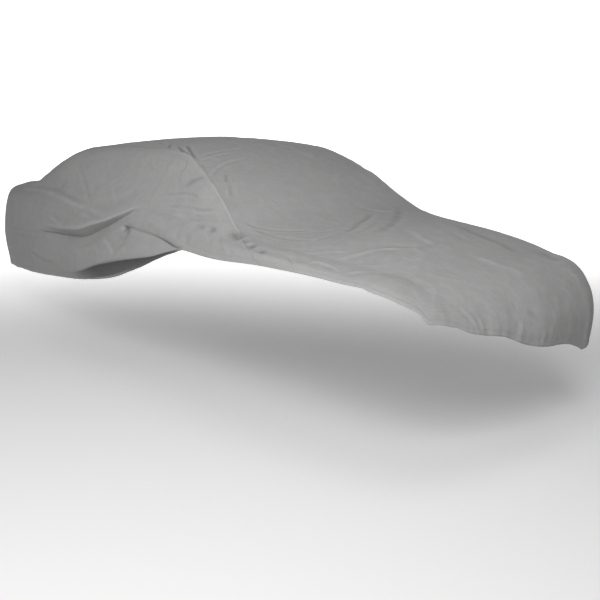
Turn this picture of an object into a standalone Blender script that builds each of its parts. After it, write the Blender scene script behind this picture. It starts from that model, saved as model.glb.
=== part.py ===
"""Fitted outdoor cover for a long four-door saloon, its right side lifted to the shoulder.

Three sewn panels of one soft non-woven cloth: a centre panel that runs from the front hem
over the deck, the screen, the crown and the tail to the rear hem, and a side panel on each
side below the roof rails.  The hems are part of their cloth.

Frame: metres, +X to the nose, +Y to the left side, +Z up.  The origin is the point under the
crown where the cover is held up.  Tables give heights above the ground, CROWN_HEIGHT below it.
"""
import math
from collections import namedtuple

import bmesh
import bpy
from mathutils import Vector

# ------------------------------------------------------------------ driving sizes, metres
CROWN_HEIGHT = 1.510        # underside of the crown above the ground
CLOTH = 0.002               # thickness of the cloth
SEAM_GAP = 0.0003           # clear gap between two panels at a seam
WAIST_HEIGHT = 0.660        # height at which the skirt stands out furthest
FULL_HEM = 0.400            # height of the hem where the skirt hangs to its full depth
LOWEST = 0.350              # height to which the sections below are drawn
END_CROWN = 0.6             # share of the nose's reach over which the deck's crown dies out
SEAM_RAKE = 0.40            # how far the front seam slants forward from screen base to hem
RAKE_START = 0.30           # the section from which they begin to slant
FOLD_STATION = -0.85        # the section from which the right side is folded
SEAM_STATION = 1.36         # the section at the screen base, where the side panels end

# ------------------------------------------------------------------ body sections
# One row a section, tail to nose.  x is ahead of the crown; y is the half width and z the
# height above the ground of the ridge on the centre line, the roof rail or deck edge, the
# shelf half way out, the belt where the side turns down, the waist and the full-depth hem.
Section = namedtuple(
    "Section", "x ridge_z rail_y rail_z shelf_y shelf_z belt_y belt_z waist_y hem_y")
SECTIONS = [
    Section(-1.90, 1.105, 0.520, 1.080, 0.690, 1.056, 0.815, 0.975, 0.873, 0.850),
    Section(-1.58, 1.135, 0.670, 1.098, 0.780, 1.055, 0.860, 0.980, 0.905, 0.880),
    Section(-1.37, 1.225, 0.665, 1.190, 0.785, 1.095, 0.885, 0.988, 0.925, 0.900),
    Section(-1.12, 1.335, 0.650, 1.305, 0.790, 1.152, 0.900, 0.995, 0.940, 0.915),
    Section(-0.90, 1.402, 0.635, 1.375, 0.785, 1.190, 0.910, 1.000, 0.948, 0.922),
    Section(-0.67, 1.455, 0.605, 1.427, 0.770, 1.210, 0.915, 1.000, 0.952, 0.926),
    Section(-0.30, 1.498, 0.590, 1.452, 0.762, 1.222, 0.915, 1.000, 0.955, 0.930),
    Section(0.00, 1.512, 0.580, 1.463, 0.757, 1.226, 0.912, 0.996, 0.955, 0.930),
    Section(0.30, 1.508, 0.575, 1.462, 0.755, 1.220, 0.908, 0.990, 0.955, 0.930),
    Section(0.54, 1.482, 0.580, 1.449, 0.757, 1.205, 0.905, 0.985, 0.954, 0.930),
    Section(0.98, 1.330, 0.655, 1.295, 0.790, 1.125, 0.900, 0.975, 0.950, 0.926),
    Section(1.20, 1.208, 0.700, 1.162, 0.810, 1.070, 0.898, 0.970, 0.947, 0.924),
    Section(SEAM_STATION, 1.120, 0.735, 1.070, 0.828, 1.030, 0.895, 0.962, 0.945, 0.922),
    Section(1.55, 1.078, 0.730, 1.038, 0.820, 1.012, 0.890, 0.950, 0.941, 0.918),
    Section(1.94, 1.048, 0.680, 1.013, 0.800, 0.987, 0.880, 0.930, 0.930, 0.908),
    Section(2.20, 1.014, 0.600, 0.990, 0.745, 0.964, 0.860, 0.902, 0.915, 0.893),
    Section(2.40, 0.972, 0.520, 0.957, 0.680, 0.940, 0.810, 0.875, 0.868, 0.848),
]

# How the nose and the tail turn down ahead of or behind their last section: the station, the
# way they face, how far back the slope of the deck is read, how much more they bow out on the
# centre line, and the reach and height of the shelf, the belt, the waist and the hem.
End = namedtuple("End", "station forward back bow shelf belt waist hem")
NOSE = End(SECTIONS[-1].x, 1, 0.20, 0.080,
           (0.170, 0.920), (0.290, 0.820), (0.352, WAIST_HEIGHT), (0.330, LOWEST))
TAIL = End(SECTIONS[0].x, -1, 0.32, 0.130,
           (0.165, 1.058), (0.295, 0.975), (0.355, WAIST_HEIGHT), (0.320, LOWEST))

# ------------------------------------------------------------------ hem heights
Hem = namedtuple("Hem", "at z")
NEAR_HEM = [                # along the lifted right side, at x
    Hem(-1.90, 0.367), Hem(-1.74, 0.376), Hem(-1.34, 0.412), Hem(-0.99, 0.448),
    Hem(-0.63, 0.490), Hem(-0.20, 0.549), Hem(0.05, 0.598), Hem(0.21, 0.640),
    Hem(0.38, 0.697), Hem(0.54, 0.753), Hem(0.70, 0.818), Hem(0.85, 0.876),
    Hem(0.96, 0.911), Hem(1.06, 0.938),
    Hem(1.30, 0.933), Hem(1.80, 0.961), Hem(2.10, 0.967), Hem(2.40, 0.948),
]
NEAR_LIFT = [               # how far the tucked-up skirt raises that hem, at x
    Hem(0.90, 0.000), Hem(1.36, 0.018), Hem(1.94, 0.045), Hem(2.40, 0.062),
]
NOSE_HEM = [                # across the nose, at y
    Hem(-0.52, 0.785), Hem(-0.44, 0.750), Hem(-0.32, 0.720), Hem(-0.23, 0.700),
    Hem(-0.06, 0.630), Hem(0.10, 0.590), Hem(0.33, 0.552), Hem(0.45, 0.512),
    Hem(0.52, 0.478),
]
NEAR_CORNER_HEM = [         # round the lifted front corner, at degrees from the nose to the side
    Hem(0, 0.785), Hem(18, 0.808), Hem(28, 0.815), Hem(36, 0.862), Hem(50, 0.895),
    Hem(66, 0.925), Hem(90, 0.948),
]

# ------------------------------------------------------------------ folds of the lifted side
# Each fold follows a line of (x, height) on the right side.  It stands proud by rise, or sinks
# by a negative rise, and dies out over a distance above and below the line and at its ends.
Fold = namedtuple("Fold", "line rise above below fade")
FOLDS = {
    "sagging_swag": Fold(
        [(-0.62, 0.865), (-0.16, 0.948), (0.14, 1.016), (0.41, 1.082), (0.66, 1.155)],
        0.042, 0.200, 0.085, 0.22),
    "hollow_under_swag": Fold(
        [(-0.80, 0.790), (-0.33, 0.845), (-0.10, 0.870), (0.07, 0.922), (0.38, 1.035),
         (0.56, 1.115)],
        -0.026, 0.060, 0.110, 0.20),
    "belly_over_turned_hem": Fold(
        [(-0.52, 0.535), (-0.20, 0.625), (0.09, 0.708), (0.42, 0.788), (0.92, 0.905),
         (1.10, 0.955)],
        0.055, 0.260, 0.095, 0.35),
    "lap_edge": Fold(
        [(0.44, 1.020), (0.66, 0.990), (0.90, 0.975), (1.07, 0.965)],
        0.018, 0.110, 0.050, 0.12),
}

# ------------------------------------------------------------------ how finely each stretch is cut
NEAR_STEPS = 18             # rail to hem on the lifted side
FAR_STEPS = 8               # rail to hem on the left side
TOP_STEPS = 8               # rail to rail
NOSE_STEPS = 9              # nose station to front hem
TAIL_STEPS = 8              # tail station to rear hem
REAR_STEPS = 8              # tail station to the start of the folds
FOLD_STEPS = 26             # start of the folds to the front seam
DECK_STEPS = 8              # front seam to nose station
CURVE_SAMPLES = 6           # points worked out between two named points of a section


def cubic(before, start, end, after, t):
    """The curve from start to end that leaves and arrives along its neighbours."""
    return (start + 0.5 * t * ((end - before)
            + t * (2 * before - 5 * start + 4 * end - after)
            + t * t * (3 * (start - end) + after - before)))


def read_table(rows, at):
    """Every column of a table at one value of its first column, with no overshoot."""
    at = min(max(at, rows[0][0]), rows[-1][0])
    low = max(i for i in range(len(rows) - 1) if rows[i][0] <= at)
    width = rows[low + 1][0] - rows[low][0]
    t = (at - rows[low][0]) / width

    def slope(i, column):
        if i == 0 or i == len(rows) - 1:
            inner = 1 if i == 0 else i
            return ((rows[inner][column] - rows[inner - 1][column])
                    / (rows[inner][0] - rows[inner - 1][0]))
        left = (rows[i][column] - rows[i - 1][column]) / (rows[i][0] - rows[i - 1][0])
        right = (rows[i + 1][column] - rows[i][column]) / (rows[i + 1][0] - rows[i][0])
        return 0.0 if left * right <= 0 else 2 * left * right / (left + right)

    values = [at]
    for column in range(1, len(rows[0])):
        start, end = rows[low][column], rows[low + 1][column]
        leave, arrive = slope(low, column) * width, slope(low + 1, column) * width
        values.append(start + t * (leave + t * (3 * (end - start) - 2 * leave - arrive
                                                + t * (2 * (start - end) + leave + arrive))))
    return type(rows[0])(*values)


def smooth(t):
    t = min(max(t, 0.0), 1.0)
    return t * t * (3 - 2 * t)


def crown_height(section, y):
    """Height of the top between the rails: highest on the centre line."""
    across = min(abs(y) / section.rail_y, 1.0)
    return section.rail_z + (section.ridge_z - section.rail_z) * (1 - across ** 2)


def side_points(x):
    """Named points of a side section, as reach out from the rail and height."""
    s = read_table(SECTIONS, x)
    inner = 0.6 * s.rail_y
    return [(inner - s.rail_y, crown_height(s, inner)), (0.0, s.rail_z),
            (s.shelf_y - s.rail_y, s.shelf_z), (s.belt_y - s.rail_y, s.belt_z),
            (s.waist_y - s.rail_y, WAIST_HEIGHT), (s.hem_y - 0.006 - s.rail_y, LOWEST)]


def end_points(end, y):
    """The same for the nose or the tail, at one y of its station."""
    s = read_table(SECTIONS, end.station)
    behind = read_table(SECTIONS, end.station - end.forward * end.back)
    lift = crown_height(s, y) - s.rail_z
    spread = 1 + end.bow * (1 - min(abs(y) / s.rail_y, 1.0) ** 2)
    points = [(-end.back, crown_height(behind, y)), (0.0, s.rail_z + lift)]
    for out, z in (end.shelf, end.belt, end.waist, end.hem):
        points.append((out * spread, z + lift * max(0.0, 1 - out / (END_CROWN * end.hem[0]))))
    return points


def trimmed(points, hem_z):
    """A smooth line through the named points from the rail down, cut off at the hem."""
    last = points[-1]
    beyond = (2 * last[0] - points[-2][0], 2 * last[1] - points[-2][1])
    chain = points + [beyond]
    line = [points[1]]
    for k in range(1, len(points) - 1):
        for step in range(1, CURVE_SAMPLES + 1):
            t = step / CURVE_SAMPLES
            line.append(tuple(cubic(chain[k - 1][c], chain[k][c], chain[k + 1][c],
                                    chain[k + 2][c], t) for c in (0, 1)))
    kept = [line[0]]
    for previous, point in zip(line, line[1:]):
        if point[1] <= hem_z:
            t = (previous[1] - hem_z) / (previous[1] - point[1])
            kept.append(tuple(a + (b - a) * t for a, b in zip(previous, point)))
            break
        kept.append(point)
    return kept


def point_along(line, share):
    """The point at a share of a line's length."""
    lengths = [math.dist(a, b) for a, b in zip(line, line[1:])]
    left = share * sum(lengths)
    for (a, b), length in zip(zip(line, line[1:]), lengths):
        if left <= length:
            t = left / length
            return tuple(p + (q - p) * t for p, q in zip(a, b))
        left -= length
    return line[-1]


def fold_offset(x, z):
    """How far the folds push the lifted side out at one place."""
    total = 0.0
    for fold in FOLDS.values():
        first, last = fold.line[0][0], fold.line[-1][0]
        ends = smooth((x - first) / fold.fade + 0.5) * smooth((last - x) / fold.fade + 0.5)
        height = read_table([Hem(*node) for node in fold.line], x).z
        reach = fold.above if z > height else fold.below
        total += fold.rise * ends * (1 - smooth(abs(z - height) / reach))
    return total


def rake(x, share):
    """Forward slant of the sections that lie round the front seam."""
    behind = smooth((x - RAKE_START) / (SEAM_STATION - RAKE_START))
    ahead = smooth((NOSE.station - x) / (NOSE.station - SEAM_STATION))
    return SEAM_RAKE * share * min(behind, ahead)


def top_place(x, v):
    """A point between the rails, at v of the way from the centre line."""
    s = read_table(SECTIONS, x)
    y = v * s.rail_y
    return x, y, crown_height(s, y)


def side_place(x, side, share):
    """A point of a side, at a share of the way from the rail to the hem."""
    x += rake(x, share)
    rail_y = read_table(SECTIONS, x).rail_y
    if side > 0:
        out, z = point_along(trimmed(side_points(x), FULL_HEM), share)
        return x, rail_y + out, z
    lift = read_table(NEAR_LIFT, x).z
    out, z = point_along(trimmed(side_points(x), read_table(NEAR_HEM, x).z - lift), share)
    return x, -rail_y - out - fold_offset(x, z), z + lift * share


def end_place(end, v, share):
    """A point of the nose or the tail, at a share of the way down from its edge."""
    y = v * read_table(SECTIONS, end.station).rail_y
    hem = read_table(NOSE_HEM, y).z if end is NOSE else FULL_HEM
    out, z = point_along(trimmed(end_points(end, y), hem), share)
    return end.station + end.forward * out, y, z


def corner_place(end, side, over_end, over_side):
    """A point of a plan corner, where the grid of the cloth is turned round the edge."""
    share = max(over_side, over_end)
    degrees = 45 * over_side / over_end if over_end >= over_side else 90 - 45 * over_end / over_side
    weight = smooth(degrees / 90)
    corner_y = read_table(SECTIONS, end.station).rail_y
    mixed = [tuple(a + (b - a) * weight for a, b in zip(p, q))
             for p, q in zip(end_points(end, corner_y), side_points(end.station))]
    lift = 0.0
    if end is TAIL:
        side_hem = FULL_HEM if side > 0 else NEAR_HEM[0].z
        hem = FULL_HEM + (side_hem - FULL_HEM) * weight
    elif side > 0:
        hem = NOSE_HEM[-1].z + (FULL_HEM - NOSE_HEM[-1].z) * weight
    else:
        hem = read_table(NEAR_CORNER_HEM, degrees).z
        lift = NEAR_LIFT[-1].z * weight
    out, z = point_along(trimmed(mixed, hem - lift), share)
    angle = math.radians(degrees)
    return (end.station + end.forward * out * math.cos(angle),
            side * (corner_y + out * math.sin(angle)), z + lift * share)


def surface(u, v):
    """A point of the cover's outer face.

    u runs from -1 at the rear hem to 0 at the tail station, 1 at the nose station and 2 at the
    front hem.  v runs from -2 at the right hem to -1 and 1 at the rails and 2 at the left hem.
    """
    side = 1 if v > 0 else -1
    over_side = max(abs(v) - 1, 0.0)
    over_end = max(u - 1, -u, 0.0)
    end = NOSE if u > 0.5 else TAIL
    if over_end > 0 and over_side > 0:
        x, y, z = corner_place(end, side, over_end, over_side)
    elif over_end > 0:
        x, y, z = end_place(end, v, over_end)
    else:
        x = TAIL.station + (NOSE.station - TAIL.station) * u
        x, y, z = side_place(x, side, over_side) if over_side > 0 else top_place(x, v)
    return Vector((x, y, z - CROWN_HEIGHT))


# ------------------------------------------------------------------ the sheet and its panels
def spread(*stretches):
    """Values from one end to the other, each stretch (start, end, steps) evenly divided."""
    values = [a + (b - a) * k / steps for a, b, steps in stretches for k in range(steps)]
    return values + [stretches[-1][1]]


FOLD_U = (FOLD_STATION - TAIL.station) / (NOSE.station - TAIL.station)
SEAM_U = (SEAM_STATION - TAIL.station) / (NOSE.station - TAIL.station)
ROWS = spread((-1, 0, TAIL_STEPS), (0, FOLD_U, REAR_STEPS), (FOLD_U, SEAM_U, FOLD_STEPS),
              (SEAM_U, 1, DECK_STEPS), (1, 2, NOSE_STEPS))
COLUMNS = spread((-2, -1, NEAR_STEPS), (-1, 1, TOP_STEPS), (1, 2, FAR_STEPS))
PANELS = ("centre_panel", "right_side_panel", "left_side_panel")


def panel_at(u, v):
    """Which panel a cell of the sheet is cut from."""
    if u > SEAM_U or abs(v) < 1:
        return PANELS.index("centre_panel")
    return PANELS.index("right_side_panel" if v < 0 else "left_side_panel")


def whole_sheet():
    """The outer face of the cover in one piece, each face marked with its panel."""
    sheet = bmesh.new()
    bmesh.ops.create_grid(sheet, x_segments=len(ROWS) - 1, y_segments=len(COLUMNS) - 1, size=1)
    panel = sheet.faces.layers.int.new("panel")
    inward = sheet.verts.layers.float_vector.new("inward")

    def step(co, values, axis):
        return (co[axis] + 1) / 2 * (len(values) - 1)

    for face in sheet.faces:
        middle = face.calc_center_median()
        i, j = int(step(middle, ROWS, 0)), int(step(middle, COLUMNS, 1))
        face[panel] = panel_at((ROWS[i] + ROWS[i + 1]) / 2, (COLUMNS[j] + COLUMNS[j + 1]) / 2)
    for vert in sheet.verts:
        vert.co = surface(ROWS[round(step(vert.co, ROWS, 0))],
                          COLUMNS[round(step(vert.co, COLUMNS, 1))])
    sheet.normal_update()
    for vert in sheet.verts:
        vert[inward] = -CLOTH * vert.normal
    return sheet


def draw_back_seams(panel, seam_verts):
    """Moves a panel's seam edges back along the cloth by half the gap."""
    moves = {}
    for vert in seam_verts:
        ends = [edge.other_vert(vert).co for edge in vert.link_edges if edge.is_boundary]
        across = (ends[1] - ends[0]).cross(vert.normal).normalized()
        cloth = sum((face.calc_center_median() for face in vert.link_faces), Vector())
        towards = cloth / len(vert.link_faces) - vert.co
        moves[vert] = across * math.copysign(SEAM_GAP / 2, across.dot(towards))
    for vert, move in moves.items():
        vert.co += move


def cloth_material(name):
    material = bpy.data.materials.new(name)
    material.use_nodes = True
    shader = material.node_tree.nodes["Principled BSDF"]
    shader.inputs["Base Color"].default_value = (0.30, 0.30, 0.30, 1)
    shader.inputs["Roughness"].default_value = 0.85
    shader.inputs["Metallic"].default_value = 0
    return material


def make_panel(sheet, name, hold):
    """One panel, cut from the sheet and given its thickness, hung from the crown."""
    panel = sheet.copy()
    mark = panel.faces.layers.int["panel"]
    inward = panel.verts.layers.float_vector["inward"]
    index = PANELS.index(name)
    seam_verts = [vert for vert in panel.verts
                  if len({face[mark] for face in vert.link_faces} | {index}) > 1
                  and any(face[mark] == index for face in vert.link_faces)]
    others = [face for face in panel.faces if face[mark] != index]
    bmesh.ops.delete(panel, geom=others, context="FACES")
    draw_back_seams(panel, seam_verts)
    bmesh.ops.triangulate(panel, faces=panel.faces[:], quad_method="BEAUTY")
    inner = bmesh.ops.extrude_face_region(panel, geom=panel.faces[:], use_keep_orig=True)
    for vert in inner["geom"]:
        if isinstance(vert, bmesh.types.BMVert):
            vert.co += vert[inward]
    bmesh.ops.recalc_face_normals(panel, faces=panel.faces[:])
    mesh = bpy.data.meshes.new(name)
    panel.to_mesh(mesh)
    panel.free()
    mesh.shade_smooth()
    mesh.materials.append(cloth_material(name + "_cloth"))
    piece = bpy.data.objects.new(name, mesh)
    piece.parent = hold
    bpy.context.collection.objects.link(piece)


for leftover in list(bpy.data.objects):
    bpy.data.objects.remove(leftover)
crown_hold = bpy.data.objects.new("crown_hold", None)
bpy.context.collection.objects.link(crown_hold)
cover_sheet = whole_sheet()
for panel_name in PANELS:
    make_panel(cover_sheet, panel_name, crown_hold)
cover_sheet.free()
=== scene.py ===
"""A long fitted outdoor cover of soft grey cloth, its right side lifted to the shoulder.

Metres, +X to the nose, +Y to the left side, +Z up.  The origin is under the crown, where the
cover is held up.  Tables give heights above the ground, CROWN_HEIGHT below the origin.
"""
import math
from collections import namedtuple

import bmesh
import bpy
import numpy as np
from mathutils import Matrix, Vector, noise
from mathutils.kdtree import KDTree


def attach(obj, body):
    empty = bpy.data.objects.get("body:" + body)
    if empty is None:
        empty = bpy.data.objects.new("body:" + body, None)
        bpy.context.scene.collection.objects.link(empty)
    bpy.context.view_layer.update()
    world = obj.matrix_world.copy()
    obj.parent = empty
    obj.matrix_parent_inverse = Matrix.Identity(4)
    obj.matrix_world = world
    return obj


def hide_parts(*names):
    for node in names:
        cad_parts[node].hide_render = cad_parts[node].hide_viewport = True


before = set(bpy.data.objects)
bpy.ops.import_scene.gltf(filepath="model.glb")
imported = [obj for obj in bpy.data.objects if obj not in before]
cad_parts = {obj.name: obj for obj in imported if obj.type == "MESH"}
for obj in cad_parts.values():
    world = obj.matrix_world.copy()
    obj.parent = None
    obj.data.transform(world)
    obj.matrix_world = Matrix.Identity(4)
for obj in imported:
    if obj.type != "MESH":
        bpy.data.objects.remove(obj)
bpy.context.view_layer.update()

# ------------------------------------------------------------------ centre panel
# One long piece of soft grey non-woven cloth, cut to run from the front hem over the nose, the
# front deck with both shoulders, the screen slope, the crown and the tail to the rear hem.
# Its long edges lap over the side panels and are sewn down with two rows of thread.
CROWN_HEIGHT = 1.510        # underside of the crown above the ground
CLOTH = 0.0014              # thickness of the cloth
WAIST_HEIGHT = 0.660        # height at which the skirt stands out furthest
FULL_HEM = 0.400            # height of the hem where the skirt hangs to its full depth
LOWEST = 0.350              # height to which the sections below are drawn
END_CROWN = 0.6             # share of an end's reach over which the top's crown dies out
SEAM_RAKE = 0.40            # how far the front seam slants forward from screen base to hem
RAKE_START = 0.30           # x from which the sections begin to slant with it
SEAM_STATION = 1.36         # x of the screen base, where the side panels end
CURVE_SAMPLES = 6           # points worked out between two named points of a section
CROWN_INSIDE = 0.6          # share of the rail's half width at which a section starts
HEM_DRAW = 0.006            # how far the elastic draws the lowest edge in

# Sections across the cover: half widths y and heights z of the ridge, rail, shelf, belt,
# waist and hem, from the tail station to the nose station.
Section = namedtuple(
    "Section", "x ridge_z rail_y rail_z shelf_y shelf_z belt_y belt_z waist_y hem_y")
SECTIONS = [
    Section(-1.90, 1.105, 0.520, 1.080, 0.690, 1.056, 0.815, 0.975, 0.873, 0.850),
    Section(-1.58, 1.135, 0.670, 1.098, 0.780, 1.055, 0.860, 0.980, 0.905, 0.880),
    Section(-1.37, 1.225, 0.665, 1.190, 0.785, 1.095, 0.885, 0.988, 0.925, 0.900),
    Section(-1.12, 1.335, 0.650, 1.305, 0.790, 1.152, 0.900, 0.995, 0.940, 0.915),
    Section(-0.90, 1.402, 0.635, 1.375, 0.785, 1.190, 0.910, 1.000, 0.948, 0.922),
    Section(-0.67, 1.455, 0.605, 1.427, 0.770, 1.210, 0.915, 1.000, 0.952, 0.926),
    Section(-0.30, 1.498, 0.590, 1.452, 0.762, 1.222, 0.915, 1.000, 0.955, 0.930),
    Section(0.00, 1.512, 0.580, 1.463, 0.757, 1.226, 0.912, 0.996, 0.955, 0.930),
    Section(0.30, 1.508, 0.575, 1.462, 0.755, 1.220, 0.908, 0.990, 0.955, 0.930),
    Section(0.54, 1.482, 0.580, 1.449, 0.757, 1.205, 0.905, 0.985, 0.954, 0.930),
    Section(0.98, 1.330, 0.655, 1.295, 0.790, 1.125, 0.900, 0.975, 0.950, 0.926),
    Section(1.20, 1.208, 0.700, 1.162, 0.810, 1.070, 0.898, 0.970, 0.947, 0.924),
    Section(SEAM_STATION, 1.120, 0.735, 1.070, 0.828, 1.030, 0.895, 0.962, 0.945, 0.922),
    Section(1.55, 1.078, 0.730, 1.038, 0.820, 1.012, 0.890, 0.950, 0.941, 0.918),
    Section(1.94, 1.048, 0.680, 1.013, 0.800, 0.987, 0.880, 0.930, 0.930, 0.908),
    Section(2.20, 1.014, 0.600, 0.990, 0.745, 0.964, 0.860, 0.902, 0.915, 0.893),
    Section(2.40, 0.972, 0.520, 0.957, 0.680, 0.940, 0.810, 0.875, 0.868, 0.848),
]

# How the nose and the tail turn down ahead of or behind their last section.
End = namedtuple("End", "station forward back bow shelf belt waist hem")
NOSE = End(SECTIONS[-1].x, 1, 0.20, 0.080,
           (0.170, 0.920), (0.290, 0.820), (0.352, WAIST_HEIGHT), (0.330, LOWEST))
TAIL = End(SECTIONS[0].x, -1, 0.32, 0.130,
           (0.165, 1.058), (0.295, 0.975), (0.355, WAIST_HEIGHT), (0.320, LOWEST))

Mark = namedtuple("Mark", "at z")


def table(*pairs):
    """Heights, or rises, each at its place."""
    return [Mark(*pair) for pair in pairs]


NEAR_HEM = table(                # along the lifted right side, at x
    (-1.90, 0.367), (-1.74, 0.376), (-1.34, 0.412), (-0.99, 0.448),
    (-0.63, 0.490), (-0.20, 0.549), (0.05, 0.598), (0.21, 0.640),
    (0.38, 0.697), (0.54, 0.753), (0.70, 0.818), (0.85, 0.876),
    (0.96, 0.911), (1.06, 0.938),
    (1.30, 0.933), (1.80, 0.961), (2.10, 0.967), (2.40, 0.948),
)
NEAR_LIFT = table(               # how far the tucked-up skirt raises that hem, at x
    (0.90, 0.000), (1.36, 0.018), (1.94, 0.045), (2.40, 0.062),
)
NOSE_HEM = table(                # across the nose, at y
    (-0.52, 0.785), (-0.44, 0.750), (-0.32, 0.720), (-0.23, 0.700),
    (-0.06, 0.630), (0.10, 0.590), (0.33, 0.552), (0.45, 0.512),
    (0.52, 0.478),
)
NEAR_CORNER_HEM = table(         # round the lifted front corner, at degrees from nose to side
    (0, 0.785), (18, 0.808), (28, 0.815), (36, 0.862), (50, 0.895),
    (66, 0.925), (90, 0.948),
)


def cubic(before, start, end, after, t):
    """The curve from start to end that leaves and arrives along its neighbours."""
    return (start + 0.5 * t * ((end - before)
            + t * (2 * before - 5 * start + 4 * end - after)
            + t * t * (3 * (start - end) + after - before)))


def read_table(rows, at):
    """Every column of a table at one value of its first column, with no overshoot."""
    at = min(max(at, rows[0][0]), rows[-1][0])
    low = 0
    while low < len(rows) - 2 and rows[low + 1][0] <= at:
        low += 1
    width = rows[low + 1][0] - rows[low][0]
    t = (at - rows[low][0]) / width

    def slope(i, column):
        if i == 0 or i == len(rows) - 1:
            inner = 1 if i == 0 else i
            return ((rows[inner][column] - rows[inner - 1][column])
                    / (rows[inner][0] - rows[inner - 1][0]))
        left = (rows[i][column] - rows[i - 1][column]) / (rows[i][0] - rows[i - 1][0])
        right = (rows[i + 1][column] - rows[i][column]) / (rows[i + 1][0] - rows[i][0])
        return 0.0 if left * right <= 0 else 2 * left * right / (left + right)

    values = [at]
    for column in range(1, len(rows[0])):
        start, end = rows[low][column], rows[low + 1][column]
        leave, arrive = slope(low, column) * width, slope(low + 1, column) * width
        values.append(start + t * (leave + t * (3 * (end - start) - 2 * leave - arrive
                                                + t * (2 * (start - end) + leave + arrive))))
    return type(rows[0])(*values)


def smooth(t):
    """0 up to 0 and 1 from 1, with a soft rise between."""
    t = np.clip(t, 0.0, 1.0)
    return t * t * (3 - 2 * t)


def crown_height(section, y):
    """Height of the top between the rails: highest on the centre line."""
    across = min(abs(y) / section.rail_y, 1.0)
    return section.rail_z + (section.ridge_z - section.rail_z) * (1 - across ** 2)


def side_points(x):
    """Named points of a side section, as reach out from the rail and height."""
    s = read_table(SECTIONS, x)
    inner = CROWN_INSIDE * s.rail_y
    return [(inner - s.rail_y, crown_height(s, inner)), (0.0, s.rail_z),
            (s.shelf_y - s.rail_y, s.shelf_z), (s.belt_y - s.rail_y, s.belt_z),
            (s.waist_y - s.rail_y, WAIST_HEIGHT), (s.hem_y - HEM_DRAW - s.rail_y, LOWEST)]


def end_points(end, y):
    """The same for the nose or the tail, at one y of its station."""
    s = read_table(SECTIONS, end.station)
    behind = read_table(SECTIONS, end.station - end.forward * end.back)
    lift = crown_height(s, y) - s.rail_z
    spread_out = 1 + end.bow * (1 - min(abs(y) / s.rail_y, 1.0) ** 2)
    points = [(-end.back, crown_height(behind, y)), (0.0, s.rail_z + lift)]
    for out, z in (end.shelf, end.belt, end.waist, end.hem):
        points.append((out * spread_out,
                       z + lift * max(0.0, 1 - out / (END_CROWN * end.hem[0]))))
    return points


def trimmed(points, hem_z):
    """A smooth line through the named points from the rail down, cut off at the hem."""
    last = points[-1]
    beyond = (2 * last[0] - points[-2][0], 2 * last[1] - points[-2][1])
    chain = points + [beyond]
    kept = [points[1]]
    for k in range(1, len(points) - 1):
        for step in range(1, CURVE_SAMPLES + 1):
            t = step / CURVE_SAMPLES
            point = tuple(cubic(chain[k - 1][c], chain[k][c], chain[k + 1][c],
                                chain[k + 2][c], t) for c in (0, 1))
            if point[1] <= hem_z:
                t = (kept[-1][1] - hem_z) / (kept[-1][1] - point[1])
                kept.append(tuple(a + (b - a) * t for a, b in zip(kept[-1], point)))
                return kept
            kept.append(point)
    return kept


def point_along(line, share):
    """The point at a share of a line's length."""
    lengths = [math.dist(a, b) for a, b in zip(line, line[1:])]
    left = share * sum(lengths)
    for (a, b), length in zip(zip(line, line[1:]), lengths):
        if left <= length:
            t = left / length
            return tuple(p + (q - p) * t for p, q in zip(a, b))
        left -= length
    return line[-1]


def rake(x, share):
    """Forward slant of the sections that lie round the front seam."""
    behind = smooth((x - RAKE_START) / (SEAM_STATION - RAKE_START))
    ahead = smooth((NOSE.station - x) / (NOSE.station - SEAM_STATION))
    return SEAM_RAKE * share * min(behind, ahead)


def side_place(x, side, share):
    """A point of a side, at a share of the way from the rail to the hem."""
    x += rake(x, share)
    rail_y = read_table(SECTIONS, x).rail_y
    if side > 0:
        out, z = point_along(trimmed(side_points(x), FULL_HEM), share)
        return x, rail_y + out, z
    lift = read_table(NEAR_LIFT, x).z
    out, z = point_along(trimmed(side_points(x), read_table(NEAR_HEM, x).z - lift), share)
    return x, -rail_y - out, z + lift * share


def corner_place(end, side, over_end, over_side):
    """A point of a plan corner, where the grid of the cloth is turned round the edge."""
    share = max(over_side, over_end)
    degrees = (45 * over_side / over_end if over_end >= over_side
               else 90 - 45 * over_end / over_side)
    weight = smooth(degrees / 90)
    corner_y = read_table(SECTIONS, end.station).rail_y
    mixed = [tuple(a + (b - a) * weight for a, b in zip(p, q))
             for p, q in zip(end_points(end, corner_y), side_points(end.station))]
    lift = 0.0
    if end is TAIL:
        side_hem = FULL_HEM if side > 0 else NEAR_HEM[0].z
        hem = FULL_HEM + (side_hem - FULL_HEM) * weight
    elif side > 0:
        hem = NOSE_HEM[-1].z + (FULL_HEM - NOSE_HEM[-1].z) * smooth(2 * weight - 1)
    else:
        hem = read_table(NEAR_CORNER_HEM, degrees).z
        lift = NEAR_LIFT[-1].z * weight
    out, z = point_along(trimmed(mixed, hem - lift), share)
    angle = math.radians(degrees)
    return (end.station + end.forward * out * math.cos(angle),
            side * (corner_y + out * math.sin(angle)), z + lift * share)


def end_place(end, v, share):
    """A point of the nose or the tail, at a share of the way down from its edge."""
    y = v * read_table(SECTIONS, end.station).rail_y
    hem = read_table(NOSE_HEM, y).z if end is NOSE else FULL_HEM
    out, z = point_along(trimmed(end_points(end, y), hem), share)
    return end.station + end.forward * out, y, z


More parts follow.
